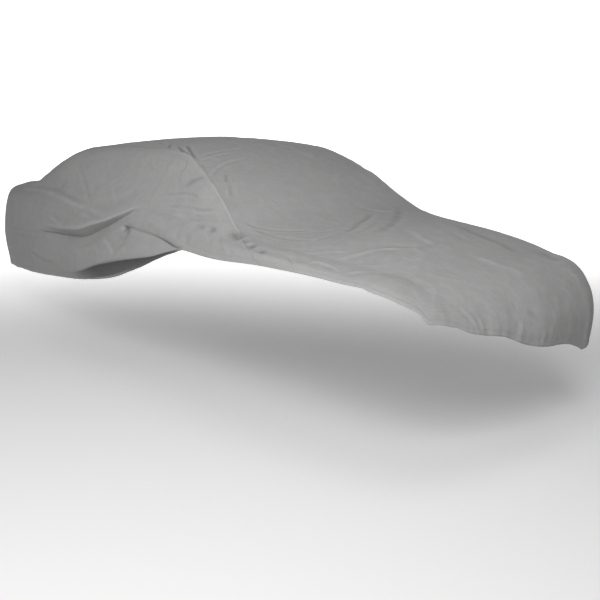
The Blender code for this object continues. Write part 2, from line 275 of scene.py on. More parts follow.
def surface(u, v):
    """A point of the smooth form under the folds.

    u runs from -1 at the rear hem to 0 at the tail station, 1 at the nose station and 2 at the
    front hem.  v runs from -2 at the right hem to -1 and 1 at the rails and 2 at the left hem.
    """
    side = 1 if v > 0 else -1
    over_side = max(abs(v) - 1, 0.0)
    over_end = max(u - 1, -u, 0.0)
    end = NOSE if u > 0.5 else TAIL
    if over_end > 0 and over_side > 0:
        x, y, z = corner_place(end, side, over_end, over_side)
    elif over_end > 0:
        x, y, z = end_place(end, v, over_end)
    else:
        x = TAIL.station + (NOSE.station - TAIL.station) * u
        if over_side > 0:
            x, y, z = side_place(x, side, over_side)
        else:
            section = read_table(SECTIONS, x)
            y = v * section.rail_y
            z = crown_height(section, y)
    return x, y, z - CROWN_HEIGHT


BODY_LENGTH = NOSE.station - TAIL.station
SEAM_U = (SEAM_STATION - TAIL.station) / BODY_LENGTH


def spread(*stretches):
    """Values from one end to the other, each stretch (start, end, steps) evenly divided."""
    values = [a + (b - a) * k / steps for a, b, steps in stretches for k in range(steps)]
    return values + [stretches[-1][1]]


TAIL_PLACES, RAIL_PLACES, PILLAR_PLACES = 90, 500, 120      # worked out along a seam


def seam_path(side):
    """The seam of one side panel, from the rear hem along the rail, then down to the side hem."""
    marks = [(u, side) for u in spread((-1, 0, TAIL_PLACES), (0, SEAM_U, RAIL_PLACES))]
    marks += [(SEAM_U, side * v) for v in spread((1, 2, PILLAR_PLACES))[1:]]
    return np.array([surface(u, v) for u, v in marks])


SEAMS = {-1: seam_path(-1), 1: seam_path(1)}


def run_along(places):
    """The length along a line, or along each row of a grid, up to each of its places."""
    steps = np.linalg.norm(np.diff(places, axis=-2), axis=-1)
    return np.concatenate([np.zeros_like(steps[..., :1]), np.cumsum(steps, axis=-1)], axis=-1)


def measured(points, line):
    """How far each point lies from a line, the nearest place on it, and the length up to it."""
    tree = KDTree(len(line))
    for k, place in enumerate(line):
        tree.insert(place, k)
    tree.balance()
    nearest = np.array([tree.find(point)[1] for point in points])
    run = run_along(line)
    best = np.full(len(points), np.inf)
    foot, length = np.zeros_like(points), np.zeros(len(points))
    for shift in (-1, 0):
        k = np.clip(nearest + shift, 0, len(line) - 2)
        a, ab = line[k], line[k + 1] - line[k]
        t = np.clip(((points - a) * ab).sum(1) / (ab * ab).sum(1), 0, 1)
        here = a + ab * t[:, None]
        gap = np.linalg.norm(points - here, axis=1)
        closer = gap < best
        best = np.where(closer, gap, best)
        foot = np.where(closer[:, None], here, foot)
        length = np.where(closer, run[k] + t * np.linalg.norm(ab, axis=1), length)
    return best, foot, length


RIPPLE_GAIN = 1.6           # brings the noise of a ripple up to about -1 to 1


def ripple(values, period, seed):
    """Uneven waves between about -1 and 1 along a length, with no fixed beat."""
    return np.array([RIPPLE_GAIN * noise.noise(Vector((value / period, seed, 0.37 * seed)))
                     for value in values])


# A crease follows a line of (x, y, height) laid on the cloth.  It stands proud by rise, or
# sinks by a negative rise, over a width, with a softer answer of the other sign beside it.
# Shade is how dark the painted shade is in it, standing for the shadow that falls in the crease.
Crease = namedtuple("Crease", "line rise width shade", defaults=(0.0,))
TOP_CREASES = [
    # crossing crease, arcs and crumples at the top of the screen seam
    Crease([(0.88, -0.65, 1.33), (0.90, -0.63, 1.34), (0.84, -0.53, 1.37), (0.79, -0.43, 1.39),
            (0.77, -0.33, 1.41), (0.75, -0.20, 1.42)], 0.0050, 0.010),
    Crease([(0.67, -0.60, 1.42), (0.79, -0.62, 1.38), (0.89, -0.63, 1.34)], 0.0036, 0.009),
    Crease([(0.68, -0.56, 1.42), (0.64, -0.47, 1.44), (0.62, -0.38, 1.45), (0.61, -0.27, 1.46),
            (0.59, -0.10, 1.47)], 0.0040, 0.011),
    Crease([(0.73, -0.58, 1.40), (0.69, -0.49, 1.42), (0.67, -0.37, 1.44), (0.66, -0.24, 1.45)],
           0.0030, 0.011),
    Crease([(0.31, -0.47, 1.48), (0.37, -0.50, 1.47), (0.50, -0.55, 1.46), (0.61, -0.58, 1.44),
            (0.66, -0.61, 1.42)], -0.0100, 0.011, 0.28),
    Crease([(0.34, -0.42, 1.49), (0.40, -0.45, 1.48), (0.52, -0.51, 1.46), (0.62, -0.55, 1.44),
            (0.70, -0.58, 1.41)], -0.0110, 0.011, 0.28),
    Crease([(0.36, -0.46, 1.48), (0.51, -0.53, 1.46), (0.63, -0.58, 1.43)], 0.0050, 0.009),
    Crease([(0.18, -0.45, 1.48), (0.32, -0.55, 1.46), (0.34, -0.59, 1.45)], -0.0060, 0.011, 0.18),
    Crease([(0.02, -0.40, 1.49), (0.14, -0.46, 1.48), (0.26, -0.49, 1.47)], 0.0036, 0.016),
    Crease([(0.90, -0.49, 1.34), (0.95, -0.53, 1.32), (1.00, -0.57, 1.29)], -0.0050, 0.010, 0.10),
    Crease([(1.01, -0.55, 1.29), (1.06, -0.58, 1.26), (1.12, -0.61, 1.23)], -0.0036, 0.010, 0.08),
    Crease([(0.45, 0.10, 1.50), (0.62, 0.22, 1.47), (0.86, 0.30, 1.39)], 0.0026, 0.022),
    # the base of the screen slope
    Crease([(1.28, -0.67, 1.12), (1.39, -0.61, 1.08), (1.47, -0.54, 1.07), (1.52, -0.46, 1.07),
            (1.55, -0.34, 1.07)], -0.0046, 0.013),
    Crease([(1.32, -0.65, 1.10), (1.45, -0.64, 1.06), (1.58, -0.61, 1.05), (1.67, -0.56, 1.04),
            (1.78, -0.46, 1.04)], -0.0040, 0.014),
    Crease([(1.54, -0.54, 1.06), (1.57, -0.46, 1.06), (1.62, -0.36, 1.06), (1.64, -0.26, 1.06)],
           -0.0050, 0.011, 0.06),
    Crease([(1.71, -0.29, 1.06), (1.66, -0.16, 1.06), (1.58, -0.04, 1.07), (1.52, 0.08, 1.08),
            (1.42, 0.24, 1.09)], -0.0070, 0.015, 0.08),
    Crease([(1.74, -0.26, 1.06), (1.69, -0.12, 1.06), (1.62, 0.01, 1.07)], 0.0040, 0.012),
    Crease([(1.82, -0.20, 1.05), (1.79, -0.08, 1.06), (1.70, 0.10, 1.06), (1.52, 0.36, 1.07),
            (1.30, 0.62, 1.12)], -0.0060, 0.026, 0.07),
    Crease([(1.74, -0.56, 1.04), (1.70, -0.42, 1.05), (1.70, -0.30, 1.06)], 0.0030, 0.014),
    Crease([(1.30, 0.20, 1.14), (1.40, 0.32, 1.10), (1.42, 0.50, 1.08)], 0.0034, 0.016),
    # long slack folds over the front deck
    Crease([(1.88, -0.74, 1.02), (1.91, -0.64, 1.02), (1.96, -0.56, 1.02), (2.02, -0.50, 1.02)],
           0.0040, 0.012),
    Crease([(2.05, -0.68, 1.00), (2.06, -0.52, 1.01), (2.06, -0.38, 1.02), (2.08, -0.30, 1.03),
            (2.14, -0.18, 1.02)], 0.0042, 0.012),
    Crease([(2.05, -0.85, 1.00), (2.03, -0.77, 1.01), (2.08, -0.75, 1.01), (2.15, -0.75, 1.00),
            (2.22, -0.77, 0.99)], 0.0040, 0.011),
    Crease([(2.24, -0.79, 0.98), (2.27, -0.68, 0.99), (2.30, -0.59, 0.98), (2.33, -0.46, 0.98)],
           0.0040, 0.013),
    Crease([(1.87, -0.80, 1.01), (1.94, -0.84, 1.01), (1.98, -0.86, 1.00)], -0.0056, 0.011),
    Crease([(1.98, -0.34, 1.04), (2.08, -0.22, 1.03), (2.15, -0.09, 1.02), (2.10, 0.08, 1.03)],
           -0.0040, 0.024),
    Crease([(1.80, 0.13, 1.06), (2.05, 0.01, 1.04), (2.19, -0.03, 1.02)], 0.0044, 0.026),
    Crease([(1.78, 0.60, 1.03), (1.98, 0.50, 1.03), (2.12, 0.46, 1.01), (2.28, 0.44, 0.99),
            (2.42, 0.38, 0.96)], -0.0070, 0.042, 0.12),
    Crease([(2.39, 0.60, 0.95), (2.48, 0.57, 0.94), (2.56, 0.56, 0.92)], -0.0060, 0.042, 0.14),
    Crease([(1.95, 0.36, 1.04), (2.06, 0.31, 1.03), (2.17, 0.25, 1.01)], 0.0040, 0.016),
    Crease([(2.32, 0.06, 0.99), (2.47, 0.10, 0.96), (2.62, 0.16, 0.90)], 0.0036, 0.028),
    # pulls that rise from the front hem
    Crease([(2.67, -0.44, 0.86), (2.69, -0.42, 0.83), (2.71, -0.40, 0.81), (2.73, -0.39, 0.76)],
           0.0034, 0.010),
    Crease([(2.71, -0.35, 0.82), (2.73, -0.35, 0.78), (2.74, -0.36, 0.73)], 0.0032, 0.009),
    Crease([(2.75, -0.07, 0.75), (2.77, -0.10, 0.70), (2.78, -0.12, 0.64)], 0.0036, 0.011),
    Crease([(2.77, 0.10, 0.68), (2.78, 0.07, 0.64), (2.78, 0.06, 0.60)], 0.0034, 0.010),
    Crease([(2.77, 0.16, 0.70), (2.78, 0.15, 0.65), (2.78, 0.14, 0.59)], 0.0034, 0.010),
    Crease([(2.74, -0.02, 0.80), (2.76, 0.04, 0.75), (2.77, 0.10, 0.72)], -0.0030, 0.020),
]
SIDE_CREASES = [
    # level tension folds under the rail, drawn towards the screen base
    Crease([(0.58, -0.77, 1.21), (0.74, -0.74, 1.22), (0.90, -0.73, 1.23), (1.01, -0.74, 1.20)],
           0.0040, 0.009),
    Crease([(0.66, -0.81, 1.15), (0.80, -0.78, 1.15), (0.92, -0.77, 1.16), (1.05, -0.77, 1.16),
            (1.22, -0.71, 1.16)], 0.0044, 0.009),
    Crease([(0.91, -0.82, 1.11), (1.08, -0.80, 1.12), (1.20, -0.77, 1.12), (1.28, -0.71, 1.12)],
           -0.0048, 0.009, 0.12),
    Crease([(1.02, -0.83, 1.10), (1.15, -0.81, 1.09), (1.26, -0.78, 1.10)], -0.0036, 0.009, 0.10),
    Crease([(0.63, -0.84, 1.12), (0.76, -0.82, 1.11), (0.90, -0.82, 1.11), (1.01, -0.84, 1.09)],
           -0.0034, 0.010, 0.10),
    # where the crossing crease runs on over the side, and crumples under the rail
    Crease([(0.75, -0.72, 1.27), (0.79, -0.70, 1.29), (0.84, -0.68, 1.31), (0.90, -0.64, 1.335)],
           -0.0050, 0.011, 0.45),
    Crease([(0.48, -0.66, 1.37), (0.50, -0.63, 1.40), (0.51, -0.60, 1.42)], -0.0040, 0.010, 0.10),
    Crease([(0.67, -0.67, 1.35), (0.66, -0.64, 1.38), (0.66, -0.62, 1.40)], -0.0040, 0.010, 0.12),
    # pressed hollows and a fan of short folds under the front seam
    Crease([(1.09, -0.83, 1.085), (1.12, -0.83, 1.080), (1.15, -0.83, 1.075)],
           -0.0050, 0.014, 0.38),
    Crease([(1.19, -0.82, 1.075), (1.22, -0.82, 1.070), (1.25, -0.81, 1.065)],
           -0.0070, 0.018, 0.50),
    Crease([(1.34, -0.76, 1.090), (1.40, -0.78, 1.062), (1.46, -0.79, 1.040)],
           -0.0120, 0.040, 0.42),
    Crease([(1.46, -0.79, 1.045), (1.53, -0.80, 1.030)], -0.0030, 0.020, 0.30),
    Crease([(1.55, -0.80, 1.030), (1.61, -0.82, 1.018)], -0.0040, 0.020, 0.44),
    Crease([(1.66, -0.82, 1.018), (1.73, -0.84, 1.005)], -0.0030, 0.018, 0.38),
    Crease([(1.09, -0.93, 0.99), (1.09, -0.91, 1.02), (1.09, -0.88, 1.05)], 0.0034, 0.010),
    Crease([(1.17, -0.85, 1.06), (1.26, -0.87, 1.02), (1.31, -0.89, 0.99)], -0.0036, 0.011),
    Crease([(1.30, -0.83, 1.05), (1.40, -0.87, 1.01), (1.46, -0.89, 0.97)], 0.0036, 0.012),
    # rear quarter: drags from the foot of the rear slope
    Crease([(-1.86, -0.73, 1.05), (-1.15, -0.83, 1.10), (-0.74, -0.86, 1.10),
            (-0.39, -0.88, 1.07), (-0.11, -0.91, 1.05)], 0.0050, 0.014),
    Crease([(-0.67, -0.88, 1.07), (-0.47, -0.89, 1.05), (-0.22, -0.91, 1.05),
            (0.04, -0.93, 1.04), (0.22, -0.93, 1.04)], -0.0045, 0.013),
    Crease([(-0.95, -0.81, 1.16), (-0.79, -0.84, 1.13), (-0.67, -0.86, 1.10)],
           -0.0060, 0.014, 0.24),
    Crease([(-0.84, -0.83, 1.13), (-0.78, -0.81, 1.16), (-0.72, -0.79, 1.19)],
           -0.0060, 0.014, 0.24),
    Crease([(-0.76, -0.69, 1.33), (-0.61, -0.74, 1.26), (-0.35, -0.82, 1.15),
            (-0.16, -0.89, 1.08)], 0.0028, 0.012),
    Crease([(-0.07, -0.77, 1.21), (0.04, -0.82, 1.15), (0.13, -0.86, 1.11)], -0.0026, 0.011),
    Crease([(-0.46, -0.91, 1.03), (-0.24, -0.94, 1.01), (-0.03, -0.95, 1.00)], -0.0045, 0.013),
    Crease([(-0.79, -0.93, 0.93), (-0.64, -0.95, 0.90), (-0.47, -0.98, 0.90)], -0.0050, 0.013),
    Crease([(-1.91, -0.87, 0.67), (-1.35, -0.92, 0.73), (-0.89, -0.94, 0.77),
            (-0.65, -0.93, 0.78)], -0.0050, 0.016, 0.06),
    Crease([(-1.30, -0.93, 0.62), (-0.95, -0.95, 0.58), (-0.62, -0.96, 0.60)], 0.0045, 0.022),
    # belly of the lifted part
    Crease([(0.06, -0.95, 0.90), (0.25, -0.98, 0.86), (0.37, -1.00, 0.80)], -0.0050, 0.020),
    Crease([(0.47, -0.96, 0.93), (0.42, -0.98, 0.88), (0.30, -1.00, 0.78)], 0.0030, 0.018),
    Crease([(0.02, -0.97, 0.83), (0.12, -0.99, 0.79)], -0.0050, 0.016),
]


def laid(*marks):
    """A crease's line through places (u, v) of the smooth form."""
    return [(x, y, z + CROWN_HEIGHT) for x, y, z in (surface(u, v) for u, v in marks)]


FAR_CREASES = [
    # a few slack folds over the hanging left side
    Crease(laid((0.12, 1.12), (0.20, 1.30), (0.30, 1.42), (0.40, 1.48)), 0.0070, 0.024),
    Crease(laid((0.14, 1.25), (0.24, 1.45), (0.30, 1.60)), -0.0070, 0.028),
    Crease(laid((0.40, 1.18), (0.44, 1.40), (0.46, 1.65)), 0.0060, 0.026),
    Crease(laid((0.58, 1.15), (0.63, 1.35), (0.66, 1.60), (0.67, 1.80)), -0.0070, 0.028),
    Crease(laid((0.70, 1.20), (0.64, 1.38), (0.55, 1.50)), 0.0060, 0.022),
    Crease(laid((0.50, 1.55), (0.53, 1.72), (0.55, 1.92)), 0.0080, 0.030),
    Crease(laid((0.25, 1.62), (0.27, 1.80), (0.28, 1.95)), 0.0080, 0.030),
    Crease(laid((0.38, 1.70), (0.39, 1.85), (0.40, 1.96)), -0.0070, 0.026),
    Crease(laid((0.80, 1.25), (0.86, 1.45), (0.93, 1.60)), -0.0070, 0.028),
    Crease(laid((0.90, 1.55), (0.93, 1.75), (0.95, 1.93)), 0.0070, 0.028),
    # the same over the tail
    Crease(laid((-0.12, 0.50), (-0.45, 0.42), (-0.75, 0.40)), -0.0070, 0.030),
    Crease(laid((-0.10, -0.45), (-0.35, -0.30), (-0.70, -0.28)), 0.0060, 0.028),
    Crease(laid((-0.50, 0.05), (-0.75, 0.08), (-0.95, 0.09)), 0.0070, 0.028),
]


MARK_STEPS = 8              # points worked out between two marks of a crease
FADE_SHARE, FADE_LEAST = 0.22, 0.008    # length over which each end of a crease dies out
UNEVEN, UNEVEN_PERIOD = 0.45, 0.09      # how much a crease's rise varies, and over what length
RIDGE_LIP, SINK_LIP = 0.45, 0.18        # the softer answer beside a ridge and beside a sink
LIP_PLACE, LIP_WIDTH = 2.0, 1.4         # where that lies and how broad it is, in widths
CREASE_REACH = 0.07         # a crease marks no cloth that lies further in or out than this
FIELD_WIDTHS, FIELD_LEAST = 4, 0.03     # how far beyond its line a crease is worked out


def creased(points, normals, creases):
    """How far the creases lift or sink each point of the cloth, and how dark their painted shade
    is there.
    """
    total, dark = np.zeros(len(points)), np.zeros(len(points))
    for number, crease in enumerate(creases):
        line = np.array([(x, y, z - CROWN_HEIGHT) for x, y, z in crease.line])
        reach = FIELD_WIDTHS * crease.width + FIELD_LEAST
        near = np.nonzero(np.all((points > line.min(0) - reach)
                                 & (points < line.max(0) + reach), axis=1))[0]
        if not len(near):
            continue
        fine = np.array([[cubic(line[max(k - 1, 0)][c], line[k][c], line[k + 1][c],
                                line[min(k + 2, len(line) - 1)][c], t / MARK_STEPS)
                          for c in range(3)]
                         for k in range(len(line) - 1) for t in range(MARK_STEPS)] + [line[-1]])
        gap, foot, run = measured(points[near], fine)
        whole = np.linalg.norm(np.diff(fine, axis=0), axis=1).sum()
        k = np.clip((run / whole * (len(fine) - 1)).astype(int), 0, len(fine) - 2)
        across = np.cross(fine[k + 1] - fine[k], normals[near])
        across /= np.linalg.norm(across, axis=1)[:, None]
        apart = points[near] - foot
        depth = (apart * normals[near]).sum(1)
        flat = apart - depth[:, None] * normals[near]
        gap = np.linalg.norm(flat, axis=1)
        side = (flat * across).sum(1)
        ends = smooth(np.minimum(run, whole - run) / (FADE_SHARE * whole + FADE_LEAST))
        uneven = 1 + UNEVEN * ripple(run, UNEVEN_PERIOD, number + 3)
        w = crease.width
        lip = RIDGE_LIP if crease.rise > 0 else SINK_LIP
        lip = lip * np.exp(-((side - LIP_PLACE * w) / (LIP_WIDTH * w)) ** 2)
        shape = np.exp(-(gap / w) ** 1.5) - lip * np.exp(-((gap - np.abs(side)) / w) ** 2)
        beside = np.abs(depth) < CREASE_REACH
        total[near] += crease.rise * ends * uneven * shape * beside
        dark[near] = np.maximum(dark[near], crease.shade * ends * np.exp(-(gap / w) ** 2) * beside)
    return total, dark


SLACK, HANGING_SLACK = 0.0030, 0.0034   # rise of the broad waves, and more where cloth hangs
FAINT_CREASE, SMALL_CREASE, FIBRE_RISE = 0.0036, 0.0018, 0.00035
BROAD_SCALE, PATCH_SCALE, FIBRE_SCALE = 2.1, 1.7, 42    # waves in a metre
FAINT_SCALE, SMALL_SCALE = (5.5, 5.5, 4.4), 2.2         # the small ones within the faint ones
WARP_SCALE, WARP = 2.3, 0.16            # how far the waves wander from an even pattern
RIDGE_SHARPNESS = 5
noise.seed_set(1)           # the same wrinkles in every run


def rumpled(points, hang):
    """The small wrinkles of soft cloth all over: broad slackness, faint creases and fibre."""
    total = []
    for point, loose in zip(points, hang):
        p = Vector(point)
        warp = noise.noise_vector(p * WARP_SCALE) * WARP
        broad = noise.noise(p * BROAD_SCALE + warp) * (SLACK + HANGING_SLACK * loose)
        patch = 0.5 + 0.5 * noise.noise(p * PATCH_SCALE + Vector((7, 3, 1)))
        q = Vector([c * scale for c, scale in zip(p, FAINT_SCALE)]) + warp * 2.5
        ridge = (1 - abs(noise.noise(q))) ** RIDGE_SHARPNESS
        small = (1 - abs(noise.noise(q * SMALL_SCALE + Vector((4, 9, 2))))) ** RIDGE_SHARPNESS
        total.append(broad + FAINT_CREASE * patch * ridge + SMALL_CREASE * patch * small
                     + FIBRE_RISE * noise.noise(p * FIBRE_SCALE))
    return np.array(total)


def grid_normals(places):
    """Unit normals of a grid of places, square to its rows and columns."""
    along = np.gradient(places, axis=0)
    across = np.gradient(places, axis=1)
    normals = np.cross(along, across)
    size = np.linalg.norm(normals, axis=2, keepdims=True)
    return normals / np.maximum(size, 1e-12)


INSIDE = (0, 0, -0.9)       # a place within the cover


def outward(places):
    """The same, turned to point out of the cover."""
    normals = grid_normals(places)
    return normals * np.sign((normals * (places - INSIDE)).sum())


HEM_BAND = 0.022            # depth of the turned hem
# Distances from the hem at which its rows of cloth lie.
HEM_STEPS = (0.046, 0.036, 0.029, 0.024, 0.020, 0.014, 0.007, 0.0)
HEM_RISE, HEM_FLANK = 0.0014, 0.003     # how proud the turned hem stands, and its soft edge
LINE_DEPTH, LINE_PLACE, LINE_WIDTH = 0.0011, 0.002, 0.0035      # its stitches' line above it
Gather = namedtuple("Gather", "period rise reach seed")
HEM_GATHERS = [Gather(0.030, 0.0030, 0.045, 0), Gather(0.120, 0.0080, 0.150, 5),
               Gather(0.310, 0.0120, 0.380, 9)]
SEAM_LAP = 0.012            # how far a side panel runs under the centre panel
SEAM_WELT, WELT_WIDTH = 0.0020, 0.006
SEAM_GATHERS = [Gather(0.026, 0.0014, 0.018, 0), Gather(0.085, 0.0024, 0.055, 4)]
RAIL_SHARE = 0.35           # how much of its pucker a seam keeps along the rails
PILLAR_START, PILLAR_FADE = 0.62, 0.25      # the x where the rails end and the welt begins


def skirt_shares(length, steps):
    """Shares of the way down a skirt: even steps, then the fine ones of the hem."""
    even = spread((0, 1 - (HEM_STEPS[0] + 0.010) / length, steps))
    return even + [1 - d / length for d in HEM_STEPS]


def gathered(gap, run, gathers, seed):
    """The waves that thread or elastic draws into the cloth beside it."""
    return sum(ripple(run, g.period, seed + g.seed) * g.rise * np.exp(-gap / g.reach)
               for g in gathers)


def hem_shape(gap, run, full, seed):
    """The turned hem: a thicker band, a stitched line above it and the elastic's gathers."""
    band = HEM_RISE * (1 - smooth((gap - HEM_BAND) / HEM_FLANK))
    line = -LINE_DEPTH * np.exp(-((gap - HEM_BAND - LINE_PLACE) / LINE_WIDTH) ** 2)
    return band + line + full * gathered(gap, run, HEM_GATHERS, seed)


def seam_shape(gap, foot, run, seed):
    """A sewn seam: a welt down the screen pillar, flush along the rails, and its pucker."""
    pillar = smooth((foot[:, 0] - PILLAR_START) / PILLAR_FADE)
    welt = SEAM_WELT * pillar * np.exp(-(gap / WELT_WIDTH) ** 2)
    return welt + ((RAIL_SHARE + (1 - RAIL_SHARE) * pillar)
                   * gathered(gap, run, SEAM_GATHERS, seed))


def finish(name, roughness):
    """A new matte finish, with its nodes and its shader."""
    material = bpy.data.materials.new(name)
    material.use_nodes = True
    shader = material.node_tree.nodes["Principled BSDF"]
    shader.inputs["Roughness"].default_value = roughness
    return material, material.node_tree, shader


def node(tree, kind, inputs=None, **settings):
    """A node of a finish, its inputs given as values or as what other nodes put out."""
    made = tree.nodes.new("ShaderNode" + kind)
    for setting, value in settings.items():
        setattr(made, setting, value)
    for socket, value in (inputs or {}).items():
        if isinstance(value, bpy.types.NodeSocket):
            tree.links.new(value, made.inputs[socket])
        else:
            made.inputs[socket].default_value = value
    return made


def mottle(tree, source, scale, detail, roughness):
    """Uneven patches laid out on the cloth's own lengths, or on its places."""
    return node(tree, "TexNoise", {"Vector": source, "Scale": scale, "Detail": detail,
                                   "Roughness": roughness}).outputs["Fac"]


def maths(tree, operation, a, b):
    """What an operation makes of two values."""
    return node(tree, "Math", {0: a, 1: b}, operation=operation).outputs[0]


def ramp(tree, value, low, high, dark, light, **settings):
    """The value brought from low and high to dark and light."""
    return node(tree, "MapRange", {"Value": value, "From Min": low, "From Max": high,
                                   "To Min": dark, "To Max": light}, **settings).outputs["Result"]


def relief(tree, height, strength, distance, over=None):
    """The normal of a fine relief, on its own or over another one."""
    made = node(tree, "Bump", {"Height": height, "Strength": strength, "Distance": distance})
    if over:
        tree.links.new(over, made.inputs["Normal"])
    return made.outputs["Normal"]


CLOTH_GREY = (0.300, 0.300, 0.298, 1)
CLOTH_ROUGHNESS, CLOTH_SHINE = 0.84, 0.20
PAINTED_SHADE_TONE = 0.30          # how dark the deepest painted shade of a hollow is beside the open cloth


def cloth_finish():
    """Matte grey non-woven cloth: fibre, bonded points, mottle and handling on its own UVs, and
    painted light and shade.
    """
    material, tree, shader = finish("grey_nonwoven_cloth", CLOTH_ROUGHNESS)
    shader.inputs["Specular IOR Level"].default_value = CLOTH_SHINE
    cloth = node(tree, "UVMap", uv_map="cloth").outputs["UV"]
    place = node(tree, "TexCoord").outputs["Object"]
    # wear and painted light: paler on ridges, seams, the hem's edge and the swag's ridge, darker
    # in sharp bends
    wear_and_light = node(tree, "Attribute", attribute_name="wear_and_painted_light").outputs["Fac"]
    # painted shade: darker in crease hollows, the pocket, the lap, the fold and the turned-in
    # strip, where shadow falls
    shade_paint = node(tree, "Attribute", attribute_name="painted_shade_mask").outputs["Fac"]
    bond = node(tree, "TexVoronoi", {"Vector": cloth, "Scale": 520,
                                     "Randomness": 0.15}).outputs["Distance"]
    fibre = mottle(tree, cloth, 420, 4, 0.7)
    clumps = mottle(tree, cloth, 55, 4, 0.6)
    patches = mottle(tree, cloth, 13, 3, 0.55)
    handling = mottle(tree, place, 3.2, 3, 0.5)
    crumple = mottle(tree, place, 14, 4, 0.55)

    tone = ramp(tree, fibre, 0.25, 0.75, 0.94, 1.06)
    for more in (ramp(tree, clumps, 0.30, 0.70, 0.965, 1.035),
                 ramp(tree, handling, 0.30, 0.70, 0.975, 1.025),
                 ramp(tree, wear_and_light, -1.0, 1.0, 0.80, 1.14),
                 ramp(tree, shade_paint, 0.0, 1.0, 1.0, PAINTED_SHADE_TONE),
                 ramp(tree, patches, 0.30, 0.70, 0.97, 1.03)):
        tone = maths(tree, "MULTIPLY", tone, more)
    grey = node(tree, "Mix", {"Factor": 1.0, "A": CLOTH_GREY, "B": tone},
                data_type="RGBA", blend_type="MULTIPLY")
    tree.links.new(grey.outputs["Result"], shader.inputs["Base Color"])

    bonds = maths(tree, "MULTIPLY", ramp(tree, bond, 0.0, 0.45, 0.0, 1.0), 0.35)
    weave = relief(tree, maths(tree, "ADD", maths(tree, "MULTIPLY", fibre, 0.5), bonds),
                   0.35, 0.0004)
    crinkle = relief(tree, clumps, 0.30, 0.0018, weave)
    creasy = relief(tree, maths(tree, "MULTIPLY", crumple,
                                ramp(tree, patches, 0.35, 0.60, 0.45, 1.0)),
                    0.55, 0.0048, crinkle)
    tree.links.new(creasy, shader.inputs["Normal"])
    return material


CLOTH_FINISH = cloth_finish()
SHARP_BEND = 0.0009         # a bend of the cloth between two rows at which it is palest on a ridge and darkest in a hollow: partly wear, partly painted highlight and painted shade
HIGHLIGHT_STRENGTH = 0.9              # how pale the painted highlight is along a seam, the hem's edge and the swag's ridge


def placed(name, data):
    """An object of this mesh, lamp or camera, put in the scene."""
    piece = bpy.data.objects.new(name, data)
    bpy.context.scene.collection.objects.link(piece)
    return piece


def sewn_sheet(name, places, painted_highlight, dark, keep=None):
    """A sheet of cloth laid on a grid of places, with its lengths as UVs and its thickness."""
    rows, columns = places.shape[:2]
    sheet = bmesh.new()
    bmesh.ops.create_grid(sheet, x_segments=rows - 1, y_segments=columns - 1, size=1)
    uv = sheet.loops.layers.uv.new("cloth")
    wear_and_light = sheet.verts.layers.float.new("wear_and_painted_light")
    under = sheet.verts.layers.float.new("painted_shade_mask")
    steps_u = np.linalg.norm(np.diff(places, axis=0), axis=2).mean(1)
    lengths_u = np.concatenate([[0.0], np.cumsum(steps_u)])
    lengths_v = run_along(places)
    lengths_v = lengths_v - lengths_v[:, columns // 2: columns // 2 + 1]
    normals = grid_normals(places)
    around = np.zeros(places.shape)
    around[1:-1, 1:-1] = (places[2:, 1:-1] + places[:-2, 1:-1] + places[1:-1, 2:]
                          + places[1:-1, :-2]) / 4 - places[1:-1, 1:-1]
    bend = -(around * normals).sum(2)
    for _ in range(2):
        bend[1:-1, 1:-1] = (bend[1:-1, 1:-1] * 2 + bend[2:, 1:-1] + bend[:-2, 1:-1]
                            + bend[1:-1, 2:] + bend[1:-1, :-2]) / 6
    # Partly wear, partly painted light: paler on ridges, darker in sharp bends, with painted
    # highlights along seams, the hem's edge and the swag's ridge.
    bend = np.clip(bend / SHARP_BEND, -1, 1) * (1 - painted_highlight ** 0.25) + HIGHLIGHT_STRENGTH * painted_highlight

    def index(vert):
        return (round((vert.co.x + 1) / 2 * (rows - 1)),
                round((vert.co.y + 1) / 2 * (columns - 1)))

    marks = [index(vert) for vert in sheet.verts]
    if keep is not None:
        gone = []
        for face in sheet.faces:
            i = min(marks[vert.index][0] for vert in face.verts)
            j = min(marks[vert.index][1] for vert in face.verts)
            if not keep(i, j):
                gone.append(face)
        kept_marks = {vert: mark for vert, mark in zip(sheet.verts, marks)}
        bmesh.ops.delete(sheet, geom=gone, context="FACES")
        marks = [kept_marks[vert] for vert in sheet.verts]
    for vert, (i, j) in zip(sheet.verts, marks):
        vert.co = places[i, j]
        vert[wear_and_light] = bend[i, j]
        # painted shade where the cloth lies in shadow: creases, pocket, lap, fold and turned-in
        # strip
        vert[under] = dark[i, j]
    sheet.verts.index_update()
    for face in sheet.faces:
        for loop in face.loops:
            i, j = marks[loop.vert.index]
            loop[uv].uv = (lengths_u[i], lengths_v[i, j])
    sheet.normal_update()
    if sum(face.normal.dot(face.calc_center_median() - Vector(INSIDE))
           for face in sheet.faces) < 0:
        bmesh.ops.reverse_faces(sheet, faces=sheet.faces[:])
    mesh = bpy.data.meshes.new(name)
    sheet.to_mesh(mesh)
    sheet.free()
    mesh.shade_smooth()
    mesh.materials.append(CLOTH_FINISH)
    piece = placed(name, mesh)
    body = piece.modifiers.new("cloth thickness", "SOLIDIFY")
    body.thickness = CLOTH
    body.offset = -1
    return piece


def base_grid(rows, columns):
    """Places of the smooth form, for rows of u and one list of v for each row."""
    return np.array([[surface(u, v) for v in line] for u, line in zip(rows, columns)])


def skirt_length(u, side):
    """How long the skirt is from the rail to the hem at one u."""
    line = np.array([surface(u, side * (1 + k / 12)) for k in range(13)])
    return np.linalg.norm(np.diff(line, axis=0), axis=1).sum()


CORNER, SIDE, ACROSS = 60, 420, 90      # places worked out along each stretch of the hem
SAME_PLACE = 1e-5


